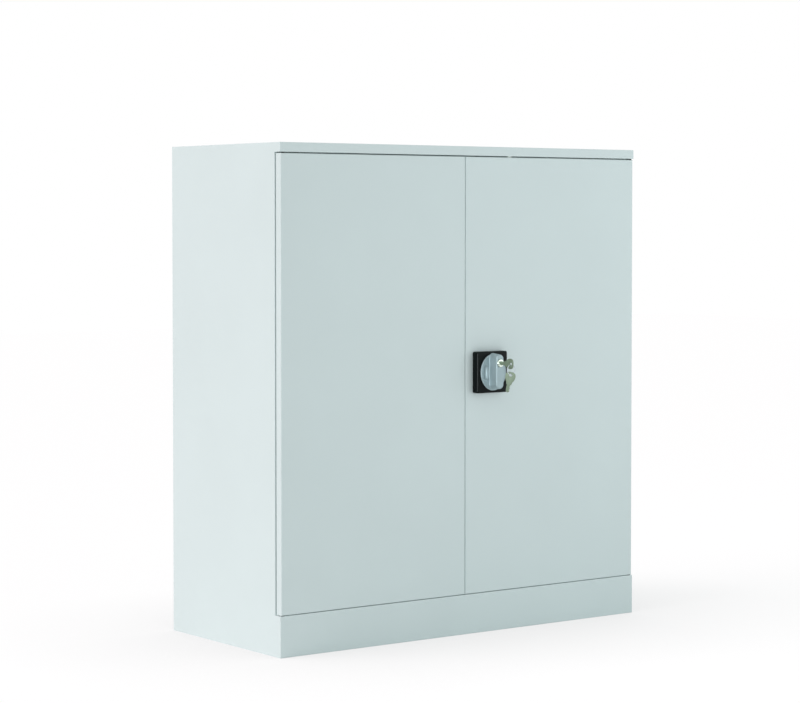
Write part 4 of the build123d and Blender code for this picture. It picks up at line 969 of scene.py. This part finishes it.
class FitLockWorks(bpy.types.Operator):
    """Plate the lock's case, racks and rods, and set its screws and rivets"""

    bl_idname = "cupboard.fit_lock_works"
    bl_label = "Lock works"

    def execute(self, context):
        sizes = context.scene.cupboard_sizes
        zinc = finish(zinc_plate, context.scene.cupboard_colours.zinc)
        for node in PLATED:
            paint(node, zinc)
        rounded("lock_screws", "case_screws", sizes.pressed_edge, zinc)
        radius, height = sizes.rivet_radius, sizes.rivet_height
        dome = [(radius * math.cos(turn), height * math.sin(turn)) for turn in QUARTER[:-1]]
        head = turned("rivet_head", [(0, 0), *dome, (0, height)], 24)
        for side, away in (("upper", 1), ("lower", -1)):
            low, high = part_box(f"{side}_rod")
            near_lock = low.z if side == "upper" else high.z
            start = ((low.x + high.x) / 2, high.y, near_lock + away * RIVET_FROM_END)
            in_rows(f"{side}_rivet_heads", head, zinc, f"{side}_bolt", start,
                    step=(0, 0, away * RIVET_PITCH), count=2, turn=TOWARDS_BACK)
        bpy.data.objects.remove(head)
        return {"FINISHED"}


class FitHinges(bpy.types.Operator):
    """Set the moulded bushes in the cap and plinth and the steel pins in the doors"""

    bl_idname = "cupboard.fit_hinges"
    bl_label = "Hinges"

    def execute(self, context):
        colours = context.scene.cupboard_colours
        edge = context.scene.cupboard_sizes.pressed_edge
        zinc = finish(zinc_plate, colours.zinc)
        black = finish(spark_eroded_abs, colours.plate)
        rounded("hinge_bushes", "pivot_bushes", edge, black)
        rounded("left_door_pins", "left_pivot_pins", edge, zinc)
        rounded("right_door_pins", "right_pivot_pins", edge, zinc)
        return {"FINISHED"}


class FitBuffers(bpy.types.Operator):
    """Set the rubber buffers and the nylon pad that the doors meet"""

    bl_idname = "cupboard.fit_buffers"
    bl_label = "Buffers and pad"

    def execute(self, context):
        colours = context.scene.cupboard_colours
        rubber = finish(nitrile_rubber, colours.rubber)
        nylon = finish(moulded_nylon, colours.nylon)
        low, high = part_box("door_buffers")
        deep = high.y - low.y
        disc = turned("buffer", [(out * BUFFER_RADIUS, up * deep) for out, up in BUFFER_LINE], 32)
        start = (low.x + BUFFER_RADIUS, high.y, low.z + BUFFER_RADIUS)
        in_rows("rubber_buffers", disc, rubber, "carcass", start,
                step=(high.x - low.x - 2 * BUFFER_RADIUS, 0, 0), count=2,
                row_step=(0, 0, high.z - low.z - 2 * BUFFER_RADIUS), rows=2, turn=TOWARDS_FRONT,
                replaced=["door_buffers"])
        bpy.data.objects.remove(disc)
        rounded("door_pad", "top_pad", PAD_EDGE, nylon)
        return {"FINISHED"}


class FitShelfClips(bpy.types.Operator):
    """Press the four clips that carry the shelf"""

    bl_idname = "cupboard.fit_shelf_clips"
    bl_label = "Shelf clips"

    def execute(self, context):
        zinc = finish(zinc_plate, context.scene.cupboard_colours.zinc)
        rounded("shelf_clips", "pressed_clips", context.scene.cupboard_sizes.pressed_edge, zinc)
        return {"FINISHED"}


class SetStage(bpy.types.Operator):
    """Lay the pale floor, hang the soft lights and stand the camera"""

    bl_idname = "cupboard.set_stage"
    bl_label = "Studio"

    def execute(self, context):
        studio = context.scene.cupboard_studio
        lay_floor(context, context.scene.cupboard_colours.floor, studio.floor_glow)
        light_room(context, studio.surround)
        key_light(context, studio)
        # The doors fade away from the fill light, which stands to their right.
        softbox(context, "Fill_Light", FILL_BREADTH, studio.fill, FILL_PLACE, DOORS)
        # This one draws the light line down the lock plate's bevel and the glints on the knob.
        sheen = softbox(context, "Sheen_Light", SHEEN_BREADTH, studio.sheen, SHEEN_PLACE, LOCK)
        sheen.visible_diffuse = False
        stand_camera(context, studio)
        context.scene.view_settings.view_transform = "Standard"
        return {"FINISHED"}


def lay_floor(context, floor_colour, glow):
    """A floor that reads as white where it is fully lit, and keeps the cupboard's faint shadow: partly cast
    by the lamps, partly a painted contact shadow.
    """
    reach = FLOOR_REACH
    mesh = bpy.data.meshes.new("studio_floor")
    corners = [(-reach, -reach, 0), (reach, -reach, 0), (reach, reach, 0), (-reach, reach, 0)]
    mesh.from_pydata(corners, [], [(0, 1, 2, 3)])
    floor = bpy.data.objects.new("studio_floor", mesh)
    context.scene.collection.objects.link(floor)
    material, tree = blank_material("Studio_Floor")
    bounced = add(tree, "ShaderNodeBsdfDiffuse", {"Color": (*floor_colour, 1.0)})
    matt_white = add(tree, "ShaderNodeBsdfDiffuse", {"Color": (1.0, 1.0, 1.0, 1.0)})
    # Painted shadow: the floor's glowing white is dimmed where the cupboard shuts out the room, as ambient
    # occlusion measures it.
    openness = add(tree, "ShaderNodeAmbientOcclusion", {"Distance": FLOOR_CONTACT}, samples=16)
    contact = add(tree, "ShaderNodeMapRange", {"Value": openness.outputs["AO"], "To Min": FLOOR_CONTACT_SHADE,
                                               "To Max": 1.0})
    white_with_painted_shadow = add(tree, "ShaderNodeEmission", {"Color": (1.0, 1.0, 1.0, 1.0),
                                                   "Strength": contact.outputs["Result"]})
    seen = add(tree, "ShaderNodeMixShader", {0: glow, 1: matt_white.outputs[0], 2: white_with_painted_shadow.outputs[0]})
    either = add(tree, "ShaderNodeMixShader", {0: seen_directly(tree), 1: bounced.outputs[0],
                                               2: seen.outputs[0]})
    add(tree, "ShaderNodeOutputMaterial", {"Surface": either.outputs[0]})
    mesh.materials.append(material)


def seen_directly(tree):
    """One where the camera, a reflection or a view through glass meets the surface, and nought elsewhere."""
    path = add(tree, "ShaderNodeLightPath").outputs
    mirrored = add(tree, "ShaderNodeMath", {0: path["Is Camera Ray"], 1: path["Is Glossy Ray"]},
                   operation="MAXIMUM")
    return add(tree, "ShaderNodeMath", {0: mirrored.outputs[0], 1: path["Is Transmission Ray"]},
               operation="MAXIMUM").outputs[0]


def light_room(context, strength):
    """A pale room: white where it is seen, and an even light on the object."""
    world = bpy.data.worlds.new("Pale_Room")
    context.scene.world = world
    world.use_nodes = True
    tree = world.node_tree
    tree.nodes.clear()
    even = add(tree, "ShaderNodeBackground", {"Color": linear("#FAFEFF"), "Strength": strength})
    white = add(tree, "ShaderNodeBackground", {"Color": (1.0, 1.0, 1.0, 1.0), "Strength": 1.0})
    either = add(tree, "ShaderNodeMixShader", {0: seen_directly(tree), 1: even.outputs[0],
                                               2: white.outputs[0]})
    add(tree, "ShaderNodeOutputWorld", {"Surface": either.outputs[0]})


def key_light(context, studio):
    """A broad light from the left, a little behind the side and far enough away to be even."""
    lamp = bpy.data.lights.new("Key_Light", "SUN")
    lamp.energy = studio.key
    lamp.angle = studio.key_spread
    lamp.color = linear("#FFF0F3")[:3]
    light = bpy.data.objects.new("Key_Light", lamp)
    context.scene.collection.objects.link(light)
    across = math.cos(studio.key_rise)
    source = Vector((-across * math.cos(studio.key_turn), across * math.sin(studio.key_turn),
                     math.sin(studio.key_rise)))
    light.rotation_euler = source.to_track_quat("Z", "Y").to_euler()


def softbox(context, name, size, strength, place, target):
    """A square soft light at a place, turned to a target."""
    lamp = bpy.data.lights.new(name, "AREA")
    lamp.size = size
    lamp.energy = strength
    lamp.color = linear("#F4FBFF")[:3]
    light = bpy.data.objects.new(name, lamp)
    context.scene.collection.objects.link(light)
    light.location = place
    light.rotation_euler = (Vector(place) - Vector(target)).to_track_quat("Z", "Y").to_euler()
    return light


def stand_camera(context, studio):
    """The camera, to the left of the doors and nearly level, with its back shifted as the view needs."""
    lens = bpy.data.cameras.new("Camera")
    lens.sensor_width = 36.0
    lens.lens = studio.focal_length
    lens.shift_y = studio.shift
    lens.clip_start = 0.1
    lens.clip_end = 100.0
    camera = bpy.data.objects.new("Camera", lens)
    context.scene.collection.objects.link(camera)
    forward = Vector((math.sin(studio.yaw), math.cos(studio.yaw), 0.0))
    right = Vector((math.cos(studio.yaw), -math.sin(studio.yaw), 0.0))
    camera.location = -forward * studio.distance - right * studio.side + Vector((0.0, 0.0, studio.height))
    camera.rotation_euler = (math.pi / 2 - studio.pitch, 0.0, -studio.yaw)
    context.scene.camera = camera


OPERATORS = (
    PaintSheetSteel,
    MarkSpotWelds,
    FitLockPlate,
    CastKnob,
    FitCylinder,
    HangKeys,
    FitLockWorks,
    FitHinges,
    FitBuffers,
    FitShelfClips,
    SetStage,
)


class CupboardPanel(bpy.types.Panel):
    """The cupboard's pieces, in the order in which they are made"""

    bl_idname = "VIEW3D_PT_cupboard"
    bl_label = "Two-door steel cupboard"
    bl_space_type = "VIEW_3D"
    bl_region_type = "UI"
    bl_category = "Cupboard"

    def draw(self, context):
        for operator in OPERATORS:
            self.layout.operator(operator.bl_idname)
        scene = context.scene
        for group in (scene.cupboard_colours, scene.cupboard_sizes, scene.cupboard_studio):
            box = self.layout.box()
            for setting in group.__annotations__:
                box.prop(group, setting)


CLASSES = (CupboardColours, CupboardSizes, CupboardStudio, *OPERATORS, CupboardPanel)


def register():
    for one in CLASSES:
        bpy.utils.register_class(one)
    bpy.types.Scene.cupboard_colours = PointerProperty(type=CupboardColours)
    bpy.types.Scene.cupboard_sizes = PointerProperty(type=CupboardSizes)
    bpy.types.Scene.cupboard_studio = PointerProperty(type=CupboardStudio)


def unregister():
    del bpy.types.Scene.cupboard_studio
    del bpy.types.Scene.cupboard_sizes
    del bpy.types.Scene.cupboard_colours
    for one in reversed(CLASSES):
        bpy.utils.unregister_class(one)


def main():
    """Makes every piece in order."""
    register()
    for operator in OPERATORS:
        group, name = operator.bl_idname.split(".")
        getattr(getattr(bpy.ops, group), name)()


if __name__ == "__main__":
    main()
